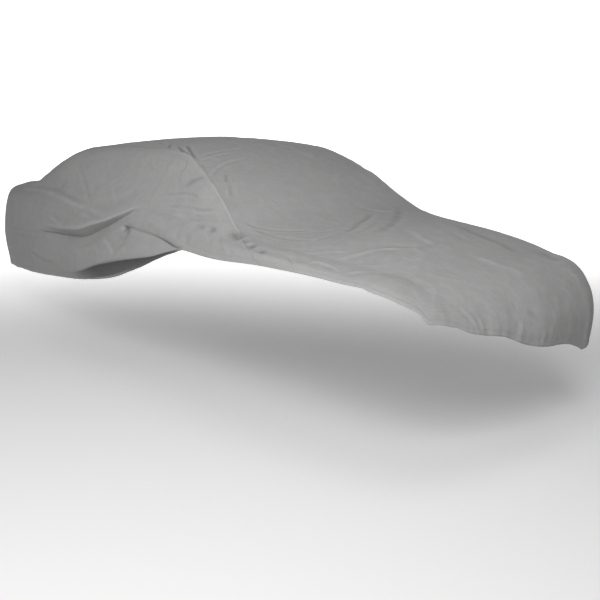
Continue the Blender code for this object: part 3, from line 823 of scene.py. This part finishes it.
def hem_path():
    """The whole lower edge, from the rear of the right side forward, round the nose and back."""
    marks = [(u, -2) for u in spread((-1, 0, CORNER), (0, 1, SIDE), (1, 2, CORNER))]
    marks += [(2, v) for v in spread((-2, -1, CORNER), (-1, 1, ACROSS), (1, 2, CORNER))]
    marks += [(u, 2) for u in spread((2, 1, CORNER), (1, 0, SIDE), (0, -1, CORNER))]
    marks += [(-1, v) for v in spread((2, 1, CORNER), (1, -1, ACROSS), (-1, -2, CORNER))]
    line = np.array([surface(u, v) for u, v in marks])
    apart = np.linalg.norm(np.diff(line, axis=0), axis=1)
    return line[np.concatenate([[True], apart > SAME_PLACE])]


HEM = hem_path()

TAIL_DROP, NOSE_DROP = 0.76, 0.36      # usual length of the skirt at the tail and the nose


def tail_rows(steps):
    """Values of u from the rear hem to the tail station."""
    return ([-1 + d / TAIL_DROP for d in HEM_STEPS[::-1]]
            + spread((-1 + (HEM_STEPS[0] + 0.015) / TAIL_DROP, 0, steps)))


# The rows and columns of the centre panel's grid, closest where its cloth is most creased.
seam_rows = [SEAM_U + d / BODY_LENGTH for d in (0.004, 0.009, 0.016)]
SCREEN_U, DECK_U = ((x - TAIL.station) / BODY_LENGTH for x in (0.10, 1.85))
centre_rows = (tail_rows(28) + spread((0, SCREEN_U, 92), (SCREEN_U, SEAM_U, 140))[1:]
               + seam_rows + spread((SEAM_U + 0.024 / BODY_LENGTH, DECK_U, 46), (DECK_U, 1, 38))
               + spread((1, 2 - (HEM_STEPS[0] + 0.012) / NOSE_DROP, 40))[1:]
               + [2 - d / NOSE_DROP for d in HEM_STEPS])
top_columns = spread((-1, -0.985, 3), (-0.985, -0.40, 36), (-0.40, 0.985, 50), (0.985, 1, 3))
NEAR_PART, FAR_PART = 30, 34
centre_columns = []
for row in centre_rows:
    near = skirt_shares(max(skirt_length(row, -1), 0.1), NEAR_PART)
    far = skirt_shares(max(skirt_length(row, 1), 0.1), FAR_PART)
    centre_columns.append([-1 - share for share in near[:0:-1]] + top_columns
                          + [1 + share for share in far[1:]])
near_count = NEAR_PART + len(HEM_STEPS)
seam_index = min(range(len(centre_rows)), key=lambda i: abs(centre_rows[i] - SEAM_U))


HANG_START, HANG_FADE = -0.42, 0.25     # z below which the cloth hangs loose
SEAM_HIGHLIGHT_START, SEAM_HIGHLIGHT_RISE = 0.20, 0.35        # x from which the seam carries a painted highlight
SEAM_HIGHLIGHT_END, SEAM_HIGHLIGHT_FALL, SEAM_HIGHLIGHT_LOSS = 1.34, 0.10, 0.75      # and where and how far that fades
# widths of the painted highlights along the seam and the hem, and the hem's strength
SEAM_HIGHLIGHT_WIDTH, HEM_HIGHLIGHT_WIDTH, HEM_HIGHLIGHT = 0.0065, 0.012, 0.30
SIDE_REACH = 0.2            # no cloth nearer the centre line than this meets a seam


def dressed(places, creases, hem_full, seed):
    """The smooth form with its creases, rumples, seam welts and hem laid on it."""
    shape = places.shape
    points = places.reshape(-1, 3)
    normals = outward(places).reshape(-1, 3)
    hang = smooth((HANG_START - points[:, 2]) / HANG_FADE)
    painted_highlight = np.zeros(len(points))
    height, dark = creased(points, normals, creases)
    height += rumpled(points, hang)
    for side, seam in SEAMS.items():
        near = np.nonzero(points[:, 1] * side > SIDE_REACH)[0]
        if not len(near):
            continue
        gap, foot, run = measured(points[near], seam)
        height[near] += seam_shape(gap, foot, run, 11 + side)
        # a painted highlight along each seam, for the light its welt catches
        seam_highlight = smooth((foot[:, 0] - SEAM_HIGHLIGHT_START) / SEAM_HIGHLIGHT_RISE)
        seam_highlight *= 1 - SEAM_HIGHLIGHT_LOSS * smooth((foot[:, 0] - SEAM_HIGHLIGHT_END) / SEAM_HIGHLIGHT_FALL)
        painted_highlight[near] += seam_highlight * np.exp(-(gap / SEAM_HIGHLIGHT_WIDTH) ** 2)
    # a painted highlight along the hem's edge
    gap, _, run = measured(points, HEM)
    painted_highlight = np.maximum(painted_highlight, HEM_HIGHLIGHT * np.exp(-(gap / HEM_HIGHLIGHT_WIDTH) ** 2))
    height += hem_shape(gap, run, hem_full(points), seed)
    return ((points + normals * height[:, None]).reshape(shape), normals.reshape(shape),
            painted_highlight.reshape(shape[:2]), dark.reshape(shape[:2]))


def centre_fullness(points):
    """How strongly the hem gathers: little where the near side is drawn up tight."""
    return 0.75 - 0.55 * smooth((-0.45 - points[:, 1]) / 0.2)


centre_base = base_grid(centre_rows, centre_columns)
centre_places, _, centre_highlight, centre_dark = dressed(
    centre_base, TOP_CREASES + SIDE_CREASES + FAR_CREASES, centre_fullness, 1)


def in_centre(i, j):
    """Cells of the centre panel: all of the top, and the sides ahead of the front seam."""
    top = near_count <= j < near_count + len(top_columns) - 1
    return top or i >= seam_index


THREAD_COLOUR = (0.235, 0.235, 0.232, 1)
THREAD_ROUGHNESS = 0.62


def thread_finish():
    """Spun polyester thread, a shade darker than the cloth, with a fine twist."""
    material, tree, shader = finish("grey_thread", THREAD_ROUGHNESS)
    shader.inputs["Base Color"].default_value = THREAD_COLOUR
    place = node(tree, "TexCoord").outputs["Object"]
    twist = node(tree, "TexNoise", {"Vector": place, "Scale": 900}).outputs["Fac"]
    tree.links.new(relief(tree, twist, 0.4, 0.0003), shader.inputs["Normal"])
    return material


THREAD_FINISH = thread_finish()
STITCH = (0.0060, 0.0042, 0.0010, 0.0005)      # pitch, length, width and height of one stitch
STITCH_TAPER = 0.4          # how much narrower a stitch is on top than below
STITCH_SINK = 0.0002        # how deep it bites into the cloth


def stitched(name, places, tracks):
    """Rows of stitches in one mesh, each along part of a row or a column of the cloth's grid."""
    pitch, length, width, height = STITCH
    normals = outward(places)
    mesh, seam = bpy.data.meshes.new(name), bmesh.new()
    for track in tracks:
        row, run = bmesh.new(), run_along(places[track])
        for start in np.arange(pitch, run[-1] - pitch, pitch):
            (a, up), (b, _) = [[Vector(np.interp(at, run, column) for column in grid[track].T)
                                for grid in (places, normals)] for at in (start, start + length)]
            up.normalize()
            across = (b - a).cross(up).normalized()
            for vert in bmesh.ops.create_cube(row, size=1)["verts"]:
                along, aside, above = vert.co + Vector((0.5, 0, 0.5))
                aside *= width * (1 - STITCH_TAPER * above)
                vert.co = a.lerp(b, along) + across * aside + up * (above * height - STITCH_SINK)
        row.to_mesh(mesh)
        row.free()
        seam.from_mesh(mesh)
    bmesh.ops.recalc_face_normals(seam, faces=seam.faces[:])
    seam.to_mesh(mesh)
    seam.free()
    mesh.materials.append(THREAD_FINISH)
    piece = placed(name, mesh)
    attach(piece, "root")
    return piece


centre_panel = sewn_sheet("centre_panel_cloth", centre_places, centre_highlight, centre_dark, in_centre)
hem_thread = len(HEM_STEPS) - HEM_STEPS.index(0.024)      # rows in from the hem to its stitches
near_edge, far_edge = near_count, near_count + len(top_columns) - 1
ahead = slice(seam_index + 1, -hem_thread)
centre_tracks = [(slice(0, seam_index + 1), column)
                 for column in (near_edge + 1, near_edge + 3, far_edge - 1, far_edge - 3)]
centre_tracks += [(seam_index + row, part) for part in (slice(0, near_edge), slice(far_edge, None))
                  for row in (1, 2)]
centre_tracks += [(hem_thread - 1, slice(near_edge, far_edge)),
                  (-hem_thread, slice(hem_thread, -hem_thread)),
                  (ahead, hem_thread - 1), (ahead, -hem_thread)]
centre_thread = stitched("centre_panel_thread", centre_places, centre_tracks)
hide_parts("centre_panel")
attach(centre_panel, "root")

# ------------------------------------------------------------------ left side panel
# The far side, cut from the same cloth in one piece from the rail down to a level hem, and
# wrapped round the rear corner.  Elastic in the hem gathers it a little.
left_rows = (tail_rows(36) + spread((0, SEAM_U, 210))[1:]
             + [SEAM_U + SEAM_LAP / BODY_LENGTH])


def under_rail(u, side):
    """The v at which a side panel's lapped edge lies under the centre panel."""
    x = min(max(TAIL.station + BODY_LENGTH * u, TAIL.station), NOSE.station)
    return side * (1 - SEAM_LAP / read_table(SECTIONS, x).rail_y)


left_columns = [[under_rail(u, 1), 1] + [1 + share for share in skirt_shares(
    skirt_length(u, 1), 62)[1:]] for u in left_rows]
TUCK_DEPTH, TUCK_WIDTH = 0.0019, 0.016


def tucked(places, normals, side):
    """Lowers the lapped edge of a side panel by the cloth that lies over it."""
    shape = places.shape
    points = places.reshape(-1, 3)
    gap = measured(points, SEAMS[side])[0]
    return (points - normals.reshape(-1, 3)
            * (TUCK_DEPTH * np.exp(-(gap / TUCK_WIDTH) ** 2))[:, None]).reshape(shape)


def full(points):
    """The hem gathers as much everywhere."""
    return np.ones(len(points))


left_base = base_grid(left_rows, left_columns)
left_places, left_normals, left_highlight, left_dark = dressed(left_base, FAR_CREASES, full, 2)
left_places = tucked(left_places, left_normals, 1)
left_panel = sewn_sheet("left_side_panel_cloth", left_places, left_highlight, left_dark)
side_tracks = [(slice(hem_thread, -1), -hem_thread), (hem_thread - 1, slice(1, -hem_thread))]
left_thread = stitched("left_side_panel_thread", left_places, side_tracks)
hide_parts("left_side_panel")
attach(left_panel, "root")

# ------------------------------------------------------------------ right side panel
# The near side, cut as the left one.  Its skirt is drawn up towards the front, so the slack
# sags in a swag, laps over itself and turns its hem in under.
SWAG_RIDGE = table(
    (-1.90, 0.840), (-1.20, 0.838), (-0.80, 0.852), (-0.56, 0.868), (-0.39, 0.886), (-0.21, 0.911),
    (-0.03, 0.957), (0.13, 1.001), (0.25, 1.045), (0.35, 1.086), (0.45, 1.124), (0.62, 1.155),
    (0.85, 1.160), (1.10, 1.110), (1.36, 1.045), (1.80, 1.020))
SWAG_CREASE = table(
    (-1.90, 0.795), (-1.20, 0.793), (-0.95, 0.800), (-0.72, 0.812), (-0.57, 0.820), (-0.41, 0.831),
    (-0.21, 0.853), (-0.06, 0.896), (0.08, 0.948), (0.21, 1.004), (0.33, 1.060), (0.42, 1.100),
    (0.62, 1.125), (0.90, 1.115), (1.10, 1.080), (1.36, 1.028), (1.80, 1.005))
LAP_EDGE = table(
    (-1.90, 0.680), (-1.00, 0.700), (-0.40, 0.745), (0.00, 0.850), (0.20, 0.930), (0.30, 0.975),
    (0.36, 0.994), (0.45, 0.997), (0.56, 0.993), (0.73, 0.988), (0.86, 0.972), (0.96, 0.953),
    (1.04, 0.944), (1.15, 0.952), (1.36, 0.965), (1.80, 0.988))
TURN_EDGE = table(
    (-1.90, 0.500), (-1.20, 0.505), (-0.80, 0.520), (-0.50, 0.550), (-0.32, 0.585), (-0.17, 0.623),
    (0.01, 0.680), (0.13, 0.718), (0.31, 0.764), (0.53, 0.812), (0.73, 0.855), (0.86, 0.886),
    (0.94, 0.911), (1.03, 0.936), (1.30, 0.942), (1.80, 0.970))
GUIDES = (SWAG_RIDGE, SWAG_CREASE, LAP_EDGE, TURN_EDGE)
GUIDE_STEPS = (42, 12, 14, 20, 10)      # columns from the rail down to each guide and the band
LEAST_GAP = 0.004           # between one guide and the next
BAND_FIELD = 0.050          # depth of the hem's own columns, less where the strip is narrow
BAND_SHARE, BAND_LEAST = 0.45, 0.010
SKIRT_SAMPLES = 44

# How far each fold stands out, or sinks, at x.
SWAG_RISE = table(
    (-1.05, 0.0), (-0.75, 0.010), (-0.45, 0.034), (-0.20, 0.047), (0.05, 0.043), (0.25, 0.027),
    (0.38, 0.013), (0.48, 0.004), (0.62, 0.0))
SWAG_TUCK = table(
    (-1.10, 0.0), (-0.90, 0.008), (-0.65, 0.022), (-0.10, 0.028), (0.15, 0.019), (0.30, 0.009),
    (0.43, 0.0))
LAP_RISE = table(
    (0.32, 0.0), (0.40, 0.007), (0.52, 0.0035), (0.80, 0.004), (0.95, 0.006), (1.02, 0.002),
    (1.06, 0.0))
LAP_SINK = table(
    (0.30, 0.0), (0.38, 0.008), (0.52, 0.002), (0.80, 0.001), (0.95, 0.002), (1.04, 0.0))
BELLY_RISE = table(
    (-0.95, 0.0), (-0.60, 0.006), (-0.36, 0.018), (-0.18, 0.042), (0.10, 0.056), (0.50, 0.050),
    (0.75, 0.034), (0.90, 0.016), (1.00, 0.005), (1.06, 0.0))
HEM_TURN = table(
    (-0.75, 0.0), (-0.36, 0.008), (-0.15, 0.028), (0.10, 0.036), (0.55, 0.034), (0.80, 0.020),
    (1.00, 0.0))


def guided_columns(u):
    """Values of v down one row: even between the guides, so that each fold has its own line."""
    line = np.array([surface(u, -1 - k / SKIRT_SAMPLES) for k in range(SKIRT_SAMPLES + 1)])
    run = run_along(line)
    length = run[-1]
    stops = []
    for guide in GUIDES:
        over = np.array([read_table(guide, x).z for x in line[:, 0]]) - CROWN_HEIGHT
        below = np.nonzero(line[:, 2] < over)[0]
        k = max(int(below[0]), 1) if len(below) else SKIRT_SAMPLES
        rise_a, rise_b = line[k - 1, 2] - over[k - 1], line[k, 2] - over[k]
        t = rise_a / (rise_a - rise_b) if rise_a != rise_b else 1.0
        stops.append(run[k - 1] + min(max(t, 0.0), 1.0) * (run[k] - run[k - 1]))
    band = min(BAND_FIELD, max(BAND_SHARE * (length - stops[-1]), BAND_LEAST))
    stops.append(length - band)
    for k in range(len(stops) - 2, -1, -1):
        stops[k] = min(stops[k], stops[k + 1] - LEAST_GAP)
    for k in range(len(stops)):
        stops[k] = max(stops[k], (stops[k - 1] if k else 0.0) + LEAST_GAP)
    stops = [0.0] + stops
    runs = []
    for a, b, steps in zip(stops, stops[1:], GUIDE_STEPS):
        runs += [a + (b - a) * k / steps for k in range(steps)]
    runs += [length - band * (d / BAND_FIELD) for d in (BAND_FIELD,) + HEM_STEPS]
    shares = np.interp(runs, run, np.linspace(0, 1, SKIRT_SAMPLES + 1))
    return [under_rail(u, -1), -1] + [-1 - share for share in shares[1:]]


FOLD_U = (-0.95 - TAIL.station) / BODY_LENGTH
right_rows = (tail_rows(34) + spread((0, FOLD_U, 56), (FOLD_U, SEAM_U, 262))[1:]
              + [SEAM_U + SEAM_LAP / BODY_LENGTH])
tail_columns = guided_columns(0.0)
right_columns = [guided_columns(u) if u >= 0 else [under_rail(u, -1)] + tail_columns[1:]
                 for u in right_rows]
right_base = base_grid(right_rows, right_columns)


SWAG_REACH, SWAG_LIP, LIP_REACH = 0.20, 0.10, 0.012     # how far up the swag bears on the cloth
SWAG_BULGE, SWAG_SAG = 1.1, 0.06        # how full its face is, and how far that hangs over
TUCK_REACH, LAP_REACH, SINK_REACH = 0.085, 0.085, 0.055
LAP_DROOP, DROOP_REACH = 0.6, 0.006
BELLY_REACH, BELLY_LEAST = 0.26, 0.02
STRIP_CURL = 0.85           # under 1, the strip turns in sooner


def folded(places):
    """The swag, the lap and the turned-in hem, laid on the smooth form of the right side."""
    places = places.copy()
    marks = np.cumsum((1,) + GUIDE_STEPS)            # columns of the guides, then of the band
    ridge, crease, _, turn = marks[1:5]
    run = run_along(places)
    for i, row in enumerate(right_rows):
        if row < 0:
            continue
        x_ridge, x_crease, x_lap, x_turn = (float(places[i, k, 0]) for k in marks[1:5])
        d_ridge, d_crease, d_lap, d_turn = (run[i] - run[i, k] for k in marks[1:5])
        swag = read_table(SWAG_RISE, x_ridge).z
        swag *= 1 + 0.10 * noise.noise(Vector((x_ridge * 5, 2, 0)))
        tuck = read_table(SWAG_TUCK, x_crease).z
        above, below = read_table(LAP_RISE, x_lap).z, read_table(LAP_SINK, x_lap).z
        belly, curl = read_table(BELLY_RISE, x_turn).z, read_table(HEM_TURN, x_turn).z

        out = np.where(d_ridge <= 0, swag * (1 - smooth(-d_ridge / SWAG_REACH))
                       + SWAG_LIP * swag * np.exp(d_ridge / LIP_REACH), 0)
        t = np.clip(d_ridge / max(run[i, crease] - run[i, ridge], 1e-6), 0, 1)
        inside = (d_ridge > 0) & (d_crease <= 0)
        out += np.where(inside, -tuck + (SWAG_BULGE * swag + tuck) * (1 - t), 0)
        drop = np.where(inside, SWAG_SAG * swag * np.sin(math.pi * t), 0)
        out += np.where(d_crease > 0, -tuck * (1 - smooth(d_crease / TUCK_REACH)), 0)
        out += np.where(d_lap <= 0, above * (1 - smooth(-d_lap / LAP_REACH)),
                        -below * (1 - smooth(d_lap / SINK_REACH)))
        drop += above * LAP_DROOP * np.where(d_lap <= 0, np.exp(d_lap / DROOP_REACH), 0)
        reach = min(BELLY_REACH, max(run[i, turn] - run[i, crease], BELLY_LEAST))
        strip = np.clip(d_turn / max(run[i, -1] - run[i, turn], 1e-6), 0, 1)
        out += np.where(d_turn <= 0, belly * (1 - smooth(-d_turn / reach)),
                        belly - (belly + curl) * strip ** STRIP_CURL)
        places[i, :, 1] -= out
        places[i, :, 2] -= drop
    return places


POCKET_X, POCKET_HEIGHT = 0.392, 0.966
POCKET_WIDTH, POCKET_DEPTH, POCKET_SINK, POCKET_LEAN = 0.036, 0.030, 0.012, 0.10


def pocketed(places):
    """The small three-cornered hollow at the upper end of the lap."""
    x = (places[:, :, 0] - POCKET_X) / POCKET_WIDTH
    z = (places[:, :, 2] - (POCKET_HEIGHT - CROWN_HEIGHT)) / POCKET_DEPTH
    sunk = POCKET_SINK * np.exp(-((x + POCKET_LEAN * z) ** 2)) * np.exp(-np.abs(z) ** 2.5)
    places = places.copy()
    places[:, :, 1] += sunk * (places[:, :, 1] < -0.6)
    return places


Stretch = namedtuple("Stretch", "start rise end fall")
STRIP_STRETCH, LAP_STRETCH = Stretch(-0.45, 0.50, 1.05, 0.10), Stretch(0.42, 0.06, 1.02, 0.08)
FOLD_STRETCH, RIDGE_STRETCH = Stretch(-1.02, 0.15, 0.05, 0.50), Stretch(-0.95, 0.25, 0.46, 0.15)
# Painted shade: the turned-in strip, its hem edge, the pocket, the lap and the fold are darkened
# for the shadow under the swag and in these folds.
STRIP_SHADE, STRIP_PALER, TURN_SHADE = 1.0, 0.25, 0.25
EDGE_SHADE, EDGE_DARKER, EDGE_START, EDGE_FADE = 0.15, 0.55, 0.25, 0.30
POCKET_SHADE, BELOW_POCKET = 0.75, 0.12
FOLD_SHADES, LAP_SHADES = (0.25, 0.66, 0.30), (0.26, 0.14)      # on the columns of each line
# Painted highlight on the swag's ridge and the columns beside it, and on the turned hem's edge
# towards the rear.
RIDGE_HIGHLIGHTS, HEM_EDGE_HIGHLIGHT = (0.55, 0.80, 0.40), 0.60


def within(x, stretch):
    """1 on a stretch of x, fading to 0 at both ends."""
    return smooth((x - stretch.start) / stretch.rise) * smooth((stretch.end - x) / stretch.fall)


def strip_mask():
    """Painted shade where the cloth turns in under, in the pocket, at the lap and the fold."""
    fold, lap, turn = np.cumsum((1,) + GUIDE_STEPS)[2:5]
    mask = np.zeros(right_base.shape[:2])
    last = mask.shape[1] - 1
    for i, row in enumerate(right_rows):
        if row <= 0:
            continue
        x_fold, x_lap, x_turn = (float(right_base[i, j, 0]) for j in (fold, lap, turn))
        drawn = within(x_turn, STRIP_STRETCH)
        for j in range(turn, last + 1):
            mask[i, j] = drawn * (STRIP_SHADE - STRIP_PALER * (j - turn) / (last - turn))
        mask[i, turn] = TURN_SHADE * drawn
        mask[i, last - 2:] = drawn * (EDGE_SHADE
                                      + EDGE_DARKER * smooth((x_turn - EDGE_START) / EDGE_FADE))
        # The pocket's painted shade is a wedge below the upper end of the lap, widest at its foot.
        for j in range(lap, turn - 2):
            x, z = right_base[i, j, 0], right_base[i, j, 2] + CROWN_HEIGHT
            down = (read_table(LAP_EDGE, x).z - z) / 0.075
            wide = smooth((x - 0.345) / 0.02) * smooth((0.410 + 0.08 * down - x) / 0.05)
            mask[i, j] = max(mask[i, j], POCKET_SHADE * wide * smooth((0.8 - down) / 0.6),
                             BELOW_POCKET * wide * smooth((2.0 - down) / 1.0))
        for j, share in enumerate(LAP_SHADES, lap):
            mask[i, j] = max(mask[i, j], share * within(x_lap, LAP_STRETCH))
        for j, share in enumerate(FOLD_SHADES, fold - 1):
            mask[i, j] = share * within(x_fold, FOLD_STRETCH)
    return mask


def ridge_highlight():
    """Painted highlight on the ridge of the swag, and on the edge of the turned hem."""
    painted_highlight = np.zeros(right_base.shape[:2])
    ridge = 1 + GUIDE_STEPS[0]
    for i, row in enumerate(right_rows):
        drawn = within(float(right_base[i, ridge, 0]), RIDGE_STRETCH) if row > 0 else 0.0
        for j, share in enumerate(RIDGE_HIGHLIGHTS, ridge - 1):
            painted_highlight[i, j] = share * drawn
        painted_highlight[i, -3:] = HEM_EDGE_HIGHLIGHT * smooth((0.40 - float(right_base[i, -1, 0])) / 0.3)
    return painted_highlight


def right_fullness(points):
    """How strongly the hem gathers: less forward of the rear, where the skirt is drawn up."""
    return 0.45 - 0.30 * smooth((points[:, 0] + 0.9) / 0.5)


right_places = pocketed(folded(right_base))
right_places, right_normals, right_highlight, right_dark = dressed(
    right_places, SIDE_CREASES, right_fullness, 3)
right_places = tucked(right_places, right_normals, -1)
right_panel = sewn_sheet("right_side_panel_cloth", right_places,
                         np.maximum(right_highlight, ridge_highlight()),
                         np.maximum(right_dark, strip_mask()))
right_thread = stitched("right_side_panel_thread", right_places, side_tracks)
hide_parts("right_side_panel")
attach(right_panel, "root")

# ------------------------------------------------------------------ floor, light and camera
# A plain pale floor at the ground that runs out into white, a white backdrop far behind, a
# faint studio sky, and broad lamps over the near side, the nose, the front deck and the tail.
BEHIND, ASIDE = Vector((-0.767, 0.642, 0)), Vector((0.642, 0.767, 0))      # from the viewer
FLOOR_HALF, BACKDROP_AWAY, BACKDROP_HALF, BACKDROP_TOP = 30, 14, 16, 7
SKY_LIGHT = 0.15            # what the sky sheds; it looks white itself


def stage_sheet(name, corners, grey, glow):
    """A flat stage piece, with its own matte paint and a glow that grows behind the cover."""
    shape = bmesh.new()
    bmesh.ops.create_grid(shape, x_segments=1, y_segments=1, size=1)
    for vert, corner in zip(shape.verts, corners):
        vert.co = corner
    mesh = bpy.data.meshes.new(name)
    shape.to_mesh(mesh)
    shape.free()
    paint, tree, shader = finish(name + "_paint", 0.9)
    shader.inputs["Base Color"].default_value = (grey, grey, grey, 1)
    shader.inputs["Emission Color"].default_value = (1, 1, 1, 1)
    place = node(tree, "TexCoord").outputs["Object"]
    away = node(tree, "VectorMath", {0: place, 1: BEHIND}, operation="DOT_PRODUCT")
    tree.links.new(ramp(tree, away.outputs["Value"], *glow, interpolation_type="SMOOTHSTEP"),
                   shader.inputs["Emission Strength"])
    mesh.materials.append(paint)
    placed(name, mesh)


stage_sheet("floor", [(FLOOR_HALF * x, FLOOR_HALF * y, -CROWN_HEIGHT)
                      for y in (-1, 1) for x in (-1, 1)],
            0.66, (-0.6, 4.0, 0.14, 0.98))
stage_sheet("backdrop", [BEHIND * BACKDROP_AWAY + ASIDE * BACKDROP_HALF * side + Vector((0, 0, z))
                         for z in (-CROWN_HEIGHT, BACKDROP_TOP) for side in (-1, 1)],
            0.86, (1.5, 7.0, 0.10, 1.0))

world = bpy.data.worlds.new("studio")
world.use_nodes = True
sky = world.node_tree.nodes["Background"]
sky.inputs["Color"].default_value = (1, 1, 1, 1)
seen = node(world.node_tree, "LightPath").outputs["Is Camera Ray"]
brightness = node(world.node_tree, "Math", {0: seen, 1: 1 - SKY_LIGHT, 2: SKY_LIGHT},
                  operation="MULTIPLY_ADD")
world.node_tree.links.new(brightness.outputs[0], sky.inputs["Strength"])
bpy.context.scene.world = world


def softbox(name, place, target, size, power):
    """A broad soft lamp that faces its target."""
    lamp = bpy.data.lights.new(name, "AREA")
    lamp.shape = "RECTANGLE"
    lamp.size, lamp.size_y = size
    lamp.energy = power
    holder = placed(name, lamp)
    holder.location = place
    holder.rotation_euler = (Vector(target) - Vector(place)).to_track_quat("-Z", "Y").to_euler()


softbox("front_softbox", (4.7, -3.0, 2.45), (0.9, -0.3, -0.5), (2.4, 2.0), 174)
softbox("side_softbox", (3.4, -5.2, 1.4), (0.3, 0.0, -0.5), (3.0, 2.4), 86)
softbox("deck_softbox", (2.7, -0.7, 2.2), (1.8, -0.2, -0.5), (1.6, 1.2), 19)
softbox("tail_softbox", (0.2, -4.2, 2.2), (0.0, -0.9, -0.5), (2.4, 2.0), 33)

camera = bpy.data.cameras.new("camera")
camera.lens = 46.465
camera.sensor_width = 36
camera_stand = placed("camera", camera)
camera_stand.location = (4.8162, -3.1987, 0.2538)
camera_stand.rotation_euler = [math.radians(a) for a in (75.634, -0.285, 50.054)]
bpy.context.scene.camera = camera_stand
bpy.context.scene.view_settings.view_transform = "Standard"
